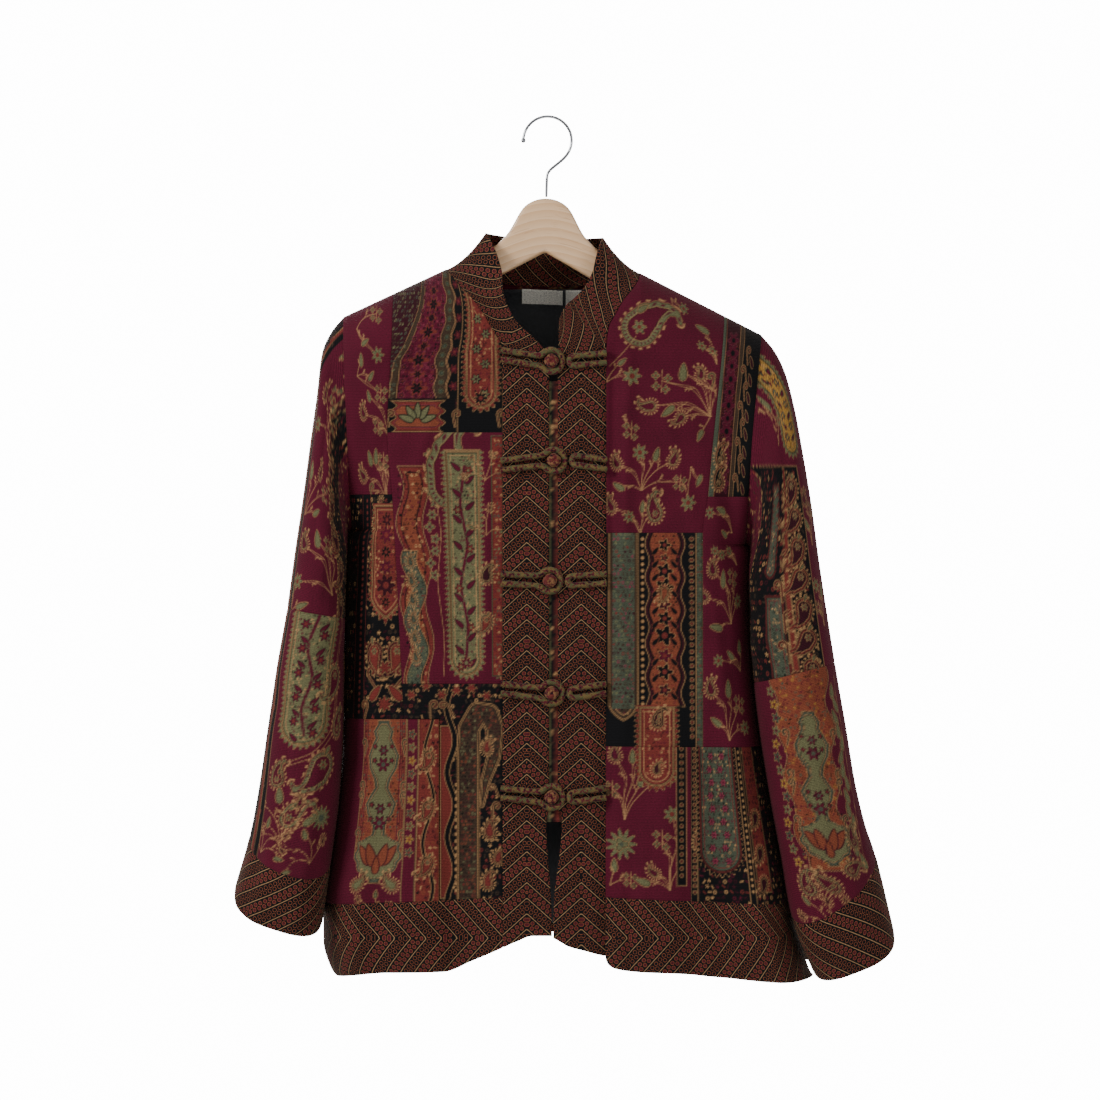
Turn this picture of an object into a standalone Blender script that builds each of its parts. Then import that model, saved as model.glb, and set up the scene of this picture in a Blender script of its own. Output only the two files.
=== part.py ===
"""Mandarin collar jacket of pieced jacquard cloth, hanging on a contoured wooden hanger.

Metres, +Z up. The origin is the underside of the hook's top, where the hanger bears on its rail.
X runs to the viewer's right and the front of the jacket faces -Y. Tables below are in millimetres.
Every cloth piece is a wall of even thickness about a middle surface. The pieces of the body share
one surface, so their edges run side by side with a seam gap between them.
"""

import math
from types import SimpleNamespace

import bmesh
import bpy
import numpy as np

MM = 0.001
CLOTH = 1.6
LINING = 1.0
LABEL = 0.7
SEAM_GAP = 0.36
SHARPEST_MITRE = 0.42  # keeps the walls of a tight corner from reaching far past it
LAY_GAP = 0.4  # between a panel and what lies on it

LEFT, RIGHT = -1, 1


def steady_slopes(keys, values):
    """Slopes for a curve through the values that never swings past them."""
    steps = np.diff(values) / np.diff(keys)
    before, after = steps[:-1], steps[1:]
    same_way = before * after > 0
    total = np.where(same_way, before + after, 1.0)
    inner = np.where(same_way, 2 * before * after / total, 0.0)
    return np.concatenate([steps[:1], inner, steps[-1:]])


def table(columns, *rows):
    """A short table: each named column as a smooth curve against the first one."""
    names = columns.split()
    keys = np.array([row[0] for row in rows], float)

    def curve_of(column):
        values = np.array([row[column] for row in rows], float)
        slopes = steady_slopes(keys, values)

        def at(key):
            key = np.clip(np.asarray(key, float), keys[0], keys[-1])
            low = np.clip(np.searchsorted(keys, key) - 1, 0, len(keys) - 2)
            span = keys[low + 1] - keys[low]
            t = (key - keys[low]) / span
            rise = values[low + 1] - values[low]
            start = slopes[low] * span
            end = slopes[low + 1] * span
            bend, twist = 3 * rise - 2 * start - end, start + end - 2 * rise
            return values[low] + t * start + t**2 * bend + t**3 * twist

        return at

    return SimpleNamespace(keys=keys, **{name: curve_of(i) for i, name in enumerate(names) if i})


def rounded(distance, radius):
    """0 at an edge, 1 past the radius: the quarter circle that cloth makes as it turns away."""
    inside = 1 - np.clip(np.asarray(distance, float) / radius, 0, 1)
    return np.sqrt(1 - inside**2)


# The body. Levels are heights at the front band's seam, and above it along the neckline.
BAND_LEVEL = -780.0  # seam between the panels and the hem band
HEM_LEVEL = -828.0
VENT_OPEN = 6.0  # each side of a hem vent stands this far from the side seam
NECK_DIP = 17.0  # fall of the neckline across a front band
SIDE_ROUND = 40.0  # how far from the side seam the cloth turns to the front
ARMHOLE_DEPTH = 52.0
SEAM_SET_BACK = 16.0  # the side seams hang this far behind the middle, beside the sleeves
SEAM_SET_BACK_OVER = 45.0
SHOULDER_ROUND_FRONT = 60.0
SHOULDER_ROUND_BACK = 40.0

DEPTH = table(
    "z front back",
    (-865, 66, 60),
    (-780, 65, 58),
    (-600, 62, 55),
    (-415, 58, 52),
    (-300, 54, 50),
    (-150, 50, 48),
)

FRONTS = {
    LEFT: SimpleNamespace(
        shoulder=(-205.0, -201.0),
        neck=(-102.0, -153.0),
        armpit=(-196.0, -415.0),
        armhole_bow=0.0,
        fan=-318.0,  # below this level the rows are level, above it they fan up to the shoulder
        neck_row=-257.0,  # side height of the row that meets the top of the front band
        hem_corner=-862.0,
        side=table(
            "z x",
            (-862, -212),
            (-842, -219),
            (-815, -226),
            (-780, -226),
            (-745, -220),
            (-680, -211),
            (-635, -206.5),
            (-593, -206),
            (-553, -205.6),
            (-503, -205),
            (-465, -203.5),
            (-440, -201),
            (-415, -196),
        ),
        inner=table(
            "level x",
            (-850, -45),
            (-300, -45),
            (-232, -46),
            (-216, -55),
            (-200, -64),
            (-185, -75),
            (-172, -87),
            (-161, -96),
            (-153, -102),
        ),
        edge=table("level x", (-840, 4), (-797, 3.5), (-705, -2), (-690, 1), (-249, 1)),
        hem=table("x z", (-212, -862), (-195, -858), (-160, -854), (-103, -853), (-75, -842), (-45, -829)),
        band_hem=table("x z", (-45, -829), (-31, -823), (-15, -817), (4, -817)),
        column=table(
            "level x", (-603, -143), (-568, -145), (-380, -155), (-318, -160), (-178, -155), (-153, -155)
        ),
        low_column=table("level x", (-850, -108), (-603, -108)),
    ),
    RIGHT: SimpleNamespace(
        shoulder=(214.0, -219.0),
        neck=(92.5, -157.0),
        armpit=(198.0, -430.0),
        armhole_bow=-3.0,
        fan=-343.0,
        neck_row=-269.0,
        hem_corner=-862.0,
        side=table(
            "z x",
            (-864, 267),
            (-830, 258),
            (-800, 247),
            (-742, 236),
            (-678, 224),
            (-640, 217.5),
            (-588, 210.5),
            (-530, 205.5),
            (-485, 203.5),
            (-450, 201.5),
            (-430, 198),
        ),
        inner=table(
            "level x",
            (-850, 57),
            (-300, 58),
            (-232, 58),
            (-214, 60),
            (-200, 67),
            (-186, 75),
            (-176, 83),
            (-167, 89),
            (-157, 92.5),
        ),
        edge=table("level x", (-840, 5.5), (-797, 5.5), (-705, 14), (-690, 10), (-249, 10)),
        hem=table(
            "x z",
            (57, -838),
            (60, -846),
            (66, -850),
            (85, -853),
            (131, -855),
            (172, -859),
            (240, -864),
            (267, -862),
        ),
        band_hem=table("x z", (5, -819), (21, -828), (39, -833), (57, -838)),
        column=table("level x", (-625, 154), (-418, 154), (-382, 159), (-300, 166), (-157, 177)),
        low_column=table("level x", (-850, 142), (-625, 142)),
    ),
}

# Soft folds of the fronts: troughs have a positive depth, ridges a negative one.
FOLDS = [
    # x and z at the top, x and z at the foot, half width, depth
    (-188, -300, -150, -560, 20, 3.5),
    (-120, -620, -128, -862, 22, -4.0),
    (-75, -560, -84, -850, 16, 3.5),
    (-160, -640, -176, -862, 18, 3.0),
    (66, -225, 64, -420, 7, 4.0),
    (80, -215, 76, -400, 8, -3.0),
    (57, -520, 58, -846, 8, 4.5),
    (190, -262, 182, -430, 12, 5.0),
    (120, -560, 112, -860, 20, -4.0),
    (160, -600, 176, -862, 18, 4.0),
    (214, -700, 226, -862, 16, -3.0),
]


def fold_depth(x, z):
    """How far the soft folds push the front back at a place."""
    total = np.zeros(np.broadcast(x, z).shape)
    for top_x, top_z, foot_x, foot_z, width, depth in FOLDS:
        along = (top_z - z) / (top_z - foot_z)
        middle = top_x + (foot_x - top_x) * np.clip(along, 0, 1)
        ends = np.clip(along * 5, 0, 1) * np.clip((1.3 - along) * 4, 0, 1)
        total = total + depth * ends * np.exp(-(((x - middle) / width) ** 2))
    return total


def shoulder_slope(front):
    return (front.neck[1] - front.shoulder[1]) / (front.shoulder[0] - front.neck[0])


def hem_share(level):
    """0 at the seam of the hem band, 1 at the hem."""
    return np.clip((BAND_LEVEL - level) / (BAND_LEVEL - HEM_LEVEL), 0, 1)


def side_height(front, level):
    """Height of a row's outer end, from its level at the front band."""
    fan_ratio = (front.shoulder[1] - front.fan) / (front.neck[1] - front.fan)
    height = level - 8 * np.clip((-600 - level) / (-600 - BAND_LEVEL), 0, 1)
    height = height + (front.hem_corner - height) * hem_share(level)
    return np.where(level < front.fan, height, front.fan + (level - front.fan) * fan_ratio)


def level_at(front, side_z):
    fan_ratio = (front.shoulder[1] - front.fan) / (front.neck[1] - front.fan)
    return side_z if side_z <= front.fan else front.fan + (side_z - front.fan) / fan_ratio


def neck_start(front):
    """The level where the front band's seam meets the collar."""
    return level_at(front, front.neck_row)


def side_point(front, side_z):
    """X and half depth of the side seam, and above the armpit of the armhole."""
    height = front.shoulder[1] - front.armpit[1]
    down = np.clip((front.shoulder[1] - side_z) / height, 0, 1)
    armhole_x = front.shoulder[0] + (front.armpit[0] - front.shoulder[0]) * down
    armhole_x = armhole_x + front.armhole_bow * 4 * down * (1 - down)
    in_armhole = side_z >= front.armpit[1]
    x = np.where(in_armhole, armhole_x, front.side.x(side_z))
    depth = np.where(in_armhole, ARMHOLE_DEPTH * 2 * np.sqrt(down * (1 - down)), 0.0)
    return x, depth


def seam_back(front, side_z):
    """How far behind the middle the side seam hangs, growing over a stretch below the armpit."""
    return SEAM_SET_BACK * np.clip((front.armpit[1] - side_z) / SEAM_SET_BACK_OVER, 0, 1)


def shoulder_line(x):
    """Height of the shoulder seams, carried straight across between the neck points."""
    left, right = FRONTS[LEFT], FRONTS[RIGHT]
    across = np.clip((x - left.neck[0]) / (right.neck[0] - left.neck[0]), 0, 1)
    line = left.neck[1] + (right.neck[1] - left.neck[1]) * across
    line = line - abs(shoulder_slope(left)) * np.clip(left.neck[0] - x, 0, None)
    return line - abs(shoulder_slope(right)) * np.clip(x - right.neck[0], 0, None)


def body_depth(depth, x, z, radius):
    """Half depth of the body away from its sides, rounding to nothing at the shoulders."""
    return depth(z) * rounded(shoulder_line(x) - z, radius)


def panel_point(front, x, level):
    """A point of a front's panels, between its side and its band seam."""
    side_z = side_height(front, level)
    side_x, side_depth = side_point(front, side_z)
    inner_x = front.inner.x(level)
    share = (x - side_x) / (inner_x - side_x)
    z = side_z + (level - side_z) * share
    z = z + (front.hem.z(x) - z) * hem_share(level)
    side_depth = side_depth + VENT_OPEN * hem_share(level)
    middle = body_depth(DEPTH.front, x, z, SHOULDER_ROUND_FRONT)
    turn = rounded(np.abs(x - side_x), SIDE_ROUND)
    y = (seam_back(front, side_z) - side_depth) * (1 - turn) + (fold_depth(x, z) - middle) * turn
    return np.stack(np.broadcast_arrays(x, y, z), axis=-1)


def band_point(front, share, level):
    """A point of a front band: share 0 is its seam with the panels, 1 its edge at centre front."""
    seam_x = front.inner.x(level)
    x = seam_x + (front.edge.x(level) - seam_x) * share
    near_top = np.clip(1 - (neck_start(front) - level) / 60, 0, 1)
    z = level - NECK_DIP * share**0.8 * near_top
    z = z + (front.band_hem.z(x) - z) * hem_share(level)
    y = fold_depth(x, z) - body_depth(DEPTH.front, x, z, SHOULDER_ROUND_FRONT)
    return np.stack(np.broadcast_arrays(x, y, z), axis=-1)


# Rows, from the hem up. Fronts are given by level below the armpit and by side height above it.
HEM_ROWS = (HEM_LEVEL, -804, BAND_LEVEL)
BODY_ROWS = {
    LEFT: (BAND_LEVEL, -730, -670, -603, -568, -510, -460, -415),
    RIGHT: (BAND_LEVEL, -730, -680, -630, -575, -520, -470, -430),
}
ARMHOLE_ROWS = {
    LEFT: (-415, -408.6, -380, -350, -318, -289, -257, -241.4, -226, -207.4, -202.6, -201),
    RIGHT: (-430, -418, -402, -382, -343, -306, -269, -256.3, -243.7, -225.4, -220.6, -219),
}
SIDE_COLUMNS = (0, 3, 11, 24)
BACK_HEM = -850.0
BACK_VENT_TOP = -788.0
BACK_RISE = table(
    "x z", (-150, 0), (-90, 5), (-45, 14), (-12, 24), (8, 26), (30, 21), (57, 13), (110, 4), (150, 0)
)  # of the back hem at the middle
BACK_NECK = table(
    "x z", (-102, -153), (-86, -159), (-60, -164), (-3, -168), (52, -166), (78, -162), (92.5, -157)
)
BACK_COLUMNS = (-155, -137.3, -119.7, -102, -70, -37, -3, 31, 62, 92.5, 120.7, 148.8, 177)


def front_levels(side):
    """Every row level of a front's panels, from the hem band's seam up to the shoulder seam."""
    front = FRONTS[side]
    return list(BODY_ROWS[side]) + [level_at(front, z) for z in ARMHOLE_ROWS[side][1:]]


def back_point(x, left_z, right_z, up):
    """A point of the back, on the row between two side heights. up is 1 at the shoulder seams."""
    x_left, depth_left = side_point(FRONTS[LEFT], left_z)
    x_right, depth_right = side_point(FRONTS[RIGHT], right_z)
    share = (x - x_left) / (x_right - x_left)
    top = np.where(
        (x > FRONTS[LEFT].neck[0]) & (x < FRONTS[RIGHT].neck[0]), BACK_NECK.z(x), shoulder_line(x)
    )
    straight = FRONTS[LEFT].shoulder[1] * (1 - share) + FRONTS[RIGHT].shoulder[1] * share
    z = left_z * (1 - share) + right_z * share + (top - straight) * up
    low = np.clip((BACK_VENT_TOP - z) / (BACK_VENT_TOP - BACK_HEM), 0, 1)
    z = z + BACK_RISE.z(x) * low
    turn = rounded(np.minimum(x - x_left, x_right - x), SIDE_ROUND)
    vent = VENT_OPEN * low
    y_left = depth_left + seam_back(FRONTS[LEFT], left_z)
    y_right = depth_right + seam_back(FRONTS[RIGHT], right_z)
    y = (np.where(share < 0.5, y_left, y_right) + vent) * (1 - turn)
    y = y + body_depth(DEPTH.back, x, z, SHOULDER_ROUND_BACK) * turn
    return np.stack(np.broadcast_arrays(x, y, z), axis=-1)


def back_rows():
    """Left and right side heights and the rise towards the shoulders, one for each row of the back."""
    rows = [(BACK_HEM, BACK_HEM, 0), (-815, -815, 0)]
    for left, right in zip(BODY_ROWS[LEFT], BODY_ROWS[RIGHT]):
        rows.append((side_height(FRONTS[LEFT], left), side_height(FRONTS[RIGHT], right), 0))
    for left, right in zip(ARMHOLE_ROWS[LEFT][1:], ARMHOLE_ROWS[RIGHT][1:]):
        span = FRONTS[LEFT].shoulder[1] - FRONTS[LEFT].armpit[1]
        rows.append((left, right, (left - FRONTS[LEFT].armpit[1]) / span))
    return rows


def back_row_points(left_z, right_z, up):
    """The points of one row of the back, from the viewer's right side to the left one."""
    x_left = float(side_point(FRONTS[LEFT], left_z)[0])
    x_right = float(side_point(FRONTS[RIGHT], right_z)[0])
    inset = SIDE_COLUMNS[-1]
    top_left = FRONTS[LEFT].shoulder[0] + inset
    top_right = FRONTS[RIGHT].shoulder[0] - inset
    columns = [x_left + d for d in SIDE_COLUMNS]
    for x in BACK_COLUMNS:
        across = (x - top_left) / (top_right - top_left)
        columns.append(x_left + inset + (x_right - x_left - 2 * inset) * across)
    columns += [x_right - d for d in reversed(SIDE_COLUMNS)]
    return back_point(np.array(columns[::-1]), left_z, right_z, up)


# Sleeves: a fan of rings from the armhole, then rings across the arm, then the cuff.
SLEEVE_COLUMNS = "station outer_x outer_z inner_x inner_z depth middle_y drop square"
SLEEVES = {
    LEFT: SimpleNamespace(
        rings=table(
            SLEEVE_COLUMNS,
            (0, -205, -201, -196, -415, 52, 0, 0, 2.0),
            (1, -217, -216, -200.6, -418, 53, -3, 0, 2.1),
            (2, -226, -237, -201, -422, 54, -8, 0, 2.2),
            (3, -231, -280, -201.2, -428, 55, -13, 0, 2.3),
            (4, -237, -325, -201.4, -435, 56, -17, 0, 2.4),
            (5, -244, -380, -202.1, -446, 57, -21, 0, 2.5),
            (6, -252, -435, -202.8, -465, 58, -24, 0, 2.5),
            (7, -260, -493, -203.7, -503, 58, -26, 0, 2.5),
            (8, -270, -550, -204.5, -557, 58, -27, 0, 2.5),
            (9, -279, -610, -205.4, -615, 57, -28, 3, 2.5),
            (10, -288, -670, -208.8, -677, 55, -28, 10, 2.4),
            (11, -298, -721, -217.5, -745, 51, -28, 24, 2.4),
            (12, -313, -774, -225.5, -801, 49, -28, 24, 2.9),
        ),
        elbow=7,
        cuff=11,
        end=12,
    ),
    RIGHT: SimpleNamespace(
        rings=table(
            SLEEVE_COLUMNS,
            (0, 214, -219, 198, -430, 52, 0, 0, 2.0),
            (1, 227, -235, 202.3, -433, 53, -3, 0, 2.1),
            (2, 237, -256, 202.7, -437, 54, -8, 0, 2.2),
            (3, 247, -295, 202.4, -443, 55, -13, 0, 2.3),
            (4, 255, -340, 201.8, -451, 56, -17, 0, 2.4),
            (5, 263, -390, 201.4, -464, 57, -21, 0, 2.5),
            (6, 270, -443, 201.7, -487, 58, -24, 0, 2.5),
            (7, 278, -497, 202.8, -525, 58, -26, 0, 2.5),
            (8, 286, -547, 206, -567, 58, -27, 0, 2.5),
            (9, 296, -605, 212.8, -623, 57, -28, 0, 2.5),
            (10, 307, -670, 222.8, -685, 55, -28, 6, 2.4),
            (11, 317, -710, 232.2, -735, 53, -28, 14, 2.4),
            (12, 327, -740, 242.5, -793, 51, -28, 26, 2.4),
            (13, 346, -818, 264.5, -849, 49, -28, 20, 2.9),
        ),
        elbow=8,
        cuff=12,
        end=13,
    ),
}


UNDERARM_GAP = 2.0  # under the arm the sleeve runs beside the body, this far off the armhole
UNDERARM_START = 0.9  # share of the armhole's height below which the two cloths part


def sleeve_ring(side, station):
    """The points of one ring: down the front from the outer line to the inner one, and back up behind."""
    front, rings = FRONTS[side], SLEEVES[side].rings
    heights = np.array(ARMHOLE_ROWS[side][::-1])
    down = (front.shoulder[1] - heights) / (front.shoulder[1] - front.armpit[1])
    down = np.concatenate([down, down[-2:0:-1]])
    front_half = np.arange(len(down)) < len(heights)
    power = 2 / rings.square(station)
    across = 1 - 2 * down
    across = np.sign(across) * np.abs(across) ** power
    out = (2 * np.sqrt(np.clip(down * (1 - down), 0, None))) ** power
    share = (1 - across) / 2
    bow = front.armhole_bow * 4 * down * (1 - down) * np.clip(1 - station, 0, 1)
    x = rings.outer_x(station) * (1 - share) + rings.inner_x(station) * share + bow
    if station == 0:
        x = x + side * UNDERARM_GAP * (down >= UNDERARM_START)
    z = rings.outer_z(station) * (1 - share) + rings.inner_z(station) * share
    z = z - rings.drop(station) * out * np.where(front_half, 1, -0.3)
    y = rings.middle_y(station) + rings.depth(station) * out * np.where(front_half, -1, 1)
    return np.stack([x, y, z], axis=-1)


# The collar's upper edge, by place along the neckline: 0 and 6 are its ends at centre front, 1 and 5
# the front bands' seams, 2 and 4 the neck points and 3 the centre back.
COLLAR_TOP = table(
    "place x y z",
    (0, -2, -50, -237),
    (0.5, -15, -50, -223),
    (1, -31, -48, -208),
    (1.25, -40, -44, -192),
    (1.5, -45, -40, -175),
    (1.7, -46, -33, -158),
    (1.85, -53, -20, -134),
    (2, -62, 0, -116),
    (2.3, -50, 22, -117),
    (2.6, -28, 33, -119),
    (3, -3, 37, -120),
    (3.4, 20, 33, -120),
    (3.7, 43, 22, -120),
    (4, 55, 0, -121),
    (4.15, 50, -20, -134),
    (4.3, 44, -31, -158),
    (4.5, 36, -38, -173),
    (4.75, 26, -43, -184),
    (5, 19, -46, -190),
    (5.5, 13, -48, -200),
    (6, 11, -49, -206),
)
COLLAR_SAG = 5.0  # the collar leaves the shoulders flat and then stands up
COLLAR_ROWS = (0, 0.35, 0.7, 1)


def neckline():
    """Every lattice point of the neckline with its place, from centre front round to centre front."""
    points, places = [], []

    def add(point, place):
        points.append(np.asarray(point, float))
        places.append(place)

    def add_front(side, first, last):
        front = FRONTS[side]
        start = neck_start(front)
        levels = [level for level in front_levels(side) if level >= start - 0.5]
        for share in BAND_COLUMNS[::-1]:
            add(band_point(front, share, start), first + (last - first) * 0.5 * (1 - share))
        for level in levels[1:]:
            place = first + (last - first) * (0.5 + 0.5 * (level - start) / (levels[-1] - start))
            add(panel_point(front, front.inner.x(level), level), place)

    add_front(LEFT, 0, 2)
    top = back_row_points(*back_rows()[-1])[::-1]
    neck = [p for p in top if FRONTS[LEFT].neck[0] + 1 < p[0] < FRONTS[RIGHT].neck[0] - 1]
    for index, point in enumerate(neck):
        add(point, 2 + 2 * (index + 1) / (len(neck) + 1))
    left_count = len(points)
    add_front(RIGHT, 6, 4)
    points[left_count:] = points[left_count:][::-1]
    places[left_count:] = places[left_count:][::-1]
    return np.array(points), np.array(places)


def collar_grid():
    seam, places = neckline()
    top = np.stack([COLLAR_TOP.x(places), COLLAR_TOP.y(places), COLLAR_TOP.z(places)], axis=-1)
    rows = []
    for share in COLLAR_ROWS:
        row = seam + (top - seam) * share
        at_shoulder = np.clip(1.4 - np.abs(np.abs(places - 3) - 1), 0, 1)
        row[:, 2] -= COLLAR_SAG * 4 * share * (1 - share) * at_shoulder
        rows.append(row)
    return np.array(rows)


# Sheets: a middle surface of points and quads, turned into a closed wall.
BAND_COLUMNS = (0, 0.33, 0.67, 1)


def sheet_of(grid, material, thickness=CLOTH, closed=False, outward=None, without=()):
    """A sheet from rows of points. closed joins the last column to the first."""
    grid = np.array(grid, float)
    rows, columns = grid.shape[:2]
    quads = []
    for r in range(rows - 1):
        for c in range(columns if closed else columns - 1):
            if (r, c) in without:
                continue
            right = (c + 1) % columns
            low, high = r * columns, (r + 1) * columns
            quads.append((low + c, low + right, high + right, high + c))
    quads = np.array(quads)
    used, quads = np.unique(quads, return_inverse=True)
    quads = quads.reshape(-1, 4)
    points = grid.reshape(-1, 3)[used]
    sheet = SimpleNamespace(points=points, quads=quads, material=material, thickness=thickness, grid=grid)
    sheet.normals = corner_normals(sheet)
    if outward is not None:
        away = points - np.asarray(outward, float)
        if (away * sheet.normals).sum() < 0:
            sheet.quads = quads[:, ::-1]
            sheet.normals = -sheet.normals
    return sheet


def corner_normals(sheet):
    a, b, c, d = (sheet.points[sheet.quads[:, i]] for i in range(4))
    face = np.cross(c - a, d - b)
    normals = np.zeros_like(sheet.points)
    for i in range(4):
        np.add.at(normals, sheet.quads[:, i], face)
    return normals / np.linalg.norm(normals, axis=1, keepdims=True)


def place_key(point):
    """The same key for points that coincide, whichever sheet they belong to."""
    return tuple(np.round(point + 0.013, 1))


def share_normals(sheets):
    """Sheets that meet at a seam lean their walls the same way there, as in a mitre."""
    sums = {}
    for sheet in sheets:
        for point, normal in zip(sheet.points, sheet.normals):
            key = place_key(point)
            sums[key] = sums.get(key, 0) + normal
    for sheet in sheets:
        shared = []
        for point, normal in zip(sheet.points, sheet.normals):
            total = sums[place_key(point)]
            total = total / np.linalg.norm(total)
            shared.append(total / max(float(total @ normal), SHARPEST_MITRE))
        sheet.normals = np.array(shared)


def border_edges(quads):
    edges = {}
    for face, quad in enumerate(quads):
        for i in range(4):
            a, b = quad[i], quad[(i + 1) % 4]
            edges[(a, b)] = face
    return {edge: face for edge, face in edges.items() if (edge[1], edge[0]) not in edges}


def pulled_in(sheet, distance):
    """The points, with those of the border moved into the sheet by half a seam gap."""
    inward = {}
    for (a, b), face in border_edges(sheet.quads).items():
        along = sheet.points[b] - sheet.points[a]
        along = along / np.linalg.norm(along)
        centre = sheet.points[sheet.quads[face]].mean(axis=0) - sheet.points[a]
        across = centre - along * (centre @ along)
        across = across / np.linalg.norm(across)
        for corner in (a, b):
            inward.setdefault(corner, []).append(across)
    points = sheet.points.copy()
    for corner, (before, after) in inward.items():
        points[corner] += distance * (before + after) / (1 + before @ after)
    return points


def open_underarm(sheet, side):
    """Move a sleeve's armhole edge off the body's side, from halfway down to where its ring does so."""
    front = FRONTS[side]
    count = len(ARMHOLE_ROWS[side])
    down = (front.shoulder[1] - sheet.points[:count, 2]) / (front.shoulder[1] - front.armpit[1])
    shift = np.where(down < UNDERARM_START, np.clip((down - 0.5) / 0.2, 0, 1), 0)
    sheet.points[:count, 0] += side * UNDERARM_GAP * shift


def make_wall(name, sheet):
    """A closed wall of even thickness about a sheet, as an object."""
    middle = pulled_in(sheet, SEAM_GAP / 2)
    half = sheet.normals * sheet.thickness / 2
    points = np.concatenate([middle + half, middle - half])
    count = len(middle)
    faces = []
    for a, b, c, d in sheet.quads:
        faces += [(a, b, c), (a, c, d)]
        faces += [(a + count, c + count, b + count), (a + count, d + count, c + count)]
    for a, b in border_edges(sheet.quads):
        faces += [(a, a + count, b + count), (a, b + count, b)]
    return make_object(name, points, faces, sheet.material)


MATERIALS = {
    # name: colour, roughness, metallic
    "burgundy_jacquard": ((0.09, 0.012, 0.028), 0.75, 0.0),
    "dark_jacquard": ((0.035, 0.012, 0.014), 0.75, 0.0),
    "olive_jacquard": ((0.12, 0.085, 0.045), 0.75, 0.0),
    "rust_jacquard": ((0.14, 0.045, 0.03), 0.75, 0.0),
    "trim_jacquard": ((0.07, 0.03, 0.02), 0.75, 0.0),
    "frog_cloth": ((0.13, 0.10, 0.05), 0.7, 0.0),
    "lining_satin": ((0.012, 0.013, 0.017), 0.45, 0.0),
    "label_tape": ((0.68, 0.66, 0.60), 0.6, 0.0),
    "beech": ((0.62, 0.45, 0.31), 0.5, 0.0),
    "chrome": ((0.75, 0.75, 0.76), 0.15, 1.0),
}


def make_material(name):
    if name in bpy.data.materials:
        return bpy.data.materials[name]
    colour, roughness, metallic = MATERIALS[name]
    material = bpy.data.materials.new(name)
    material.use_nodes = True
    shader = material.node_tree.nodes["Principled BSDF"]
    shader.inputs["Base Color"].default_value = (*colour, 1.0)
    shader.inputs["Roughness"].default_value = roughness
    shader.inputs["Metallic"].default_value = metallic
    return material


def make_object(name, points_mm, faces, material):
    mesh = bpy.data.meshes.new(name)
    points = [tuple(float(v) * MM for v in point) for point in points_mm]
    mesh.from_pydata(points, [], [tuple(int(i) for i in face) for face in faces])
    body = bmesh.new()
    body.from_mesh(mesh)
    if body.calc_volume(signed=True) < 0:
        bmesh.ops.reverse_faces(body, faces=body.faces[:])
    body.to_mesh(mesh)
    body.free()
    mesh.materials.append(make_material(material))
    mesh.shade_smooth()
    mesh.set_sharp_from_angle(angle=math.radians(40))
    item = bpy.data.objects.new(name, mesh)
    bpy.context.scene.collection.objects.link(item)
    return item


# Each panel's side heights at its foot and top, the lines that it runs between and its columns between
# them. "side" is the side seam or armhole, "inner" the front band's seam.
PANELS = (
    # name, side, foot, top, lines, columns, material
    ("front_l_shoulder_panel", LEFT, -380, -201, ("side", "column"), (1,), "burgundy_jacquard"),
    ("front_l_column_panel", LEFT, -318, -201, ("column", "inner"), (3,), "rust_jacquard"),
    ("front_l_spear_panel", LEFT, -603, -380, ("side", "column"), (1,), "dark_jacquard"),
    ("front_l_paisley_panel", LEFT, -568, -318, ("column", "inner"), (3,), "olive_jacquard"),
    ("front_l_scroll_panel", LEFT, -780, -568, ("column", "low_column", "inner"), (1, 2), "dark_jacquard"),
    ("front_l_vase_panel", LEFT, -780, -603, ("side", "low_column"), (2,), "rust_jacquard"),
    ("hem_band_l", LEFT, -828, -780, ("side", "low_column", "inner"), (2, 2), "trim_jacquard"),
    ("front_r_column_panel", RIGHT, -382, -219, ("side", "column"), (1,), "dark_jacquard"),
    ("front_r_chest_panel", RIGHT, -418, -219, ("column", "inner"), (3,), "burgundy_jacquard"),
    ("front_r_side_panel", RIGHT, -630, -382, ("side", "column"), (1,), "burgundy_jacquard"),
    ("front_r_spear_panel", RIGHT, -630, -418, ("column", "inner"), (3,), "rust_jacquard"),
    ("front_r_tongue_panel", RIGHT, -780, -630, ("side", "low_column"), (2,), "dark_jacquard"),
    ("front_r_floral_panel", RIGHT, -780, -630, ("low_column", "inner"), (2,), "burgundy_jacquard"),
    ("hem_band_r", RIGHT, -828, -780, ("side", "low_column", "inner"), (2, 2), "trim_jacquard"),
)
LEFT_OUT = {"front_l_scroll_panel": ((0, 0), (1, 0), (2, 0))}  # cells where the vase panel lies


def across_panel(side, level, lines, counts):
    """The columns of one row of a panel, from its outer line to its inner one."""
    front = FRONTS[side]
    if lines[0] == "side":
        side_x = float(side_point(front, side_height(front, level))[0])
        xs = [side_x - side * d for d in SIDE_COLUMNS]
    else:
        xs = [float(getattr(front, lines[0]).x(level))]
    for line, count in zip(lines[1:], counts):
        stop = float(getattr(front, line).x(level))
        xs += list(np.linspace(xs[-1], stop, count + 1)[1:])
    return np.array(xs)


def panel_sheets():
    """The pieced panels of both fronts, which share one lattice of rows and columns."""
    sheets = {}
    for name, side, foot, top, lines, counts, material in PANELS:
        front = FRONTS[side]
        low, high = level_at(front, foot), level_at(front, top)
        rows = HEM_ROWS if low == HEM_LEVEL else front_levels(side)
        grid = []
        for level in rows:
            if low - 0.5 <= level <= high + 0.5:
                row = panel_point(front, across_panel(side, level, lines, counts), level)
                grid.append(row if side == LEFT else row[::-1])
        sheets[name] = sheet_of(grid, material, without=LEFT_OUT.get(name, ()))
    return sheets


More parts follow.
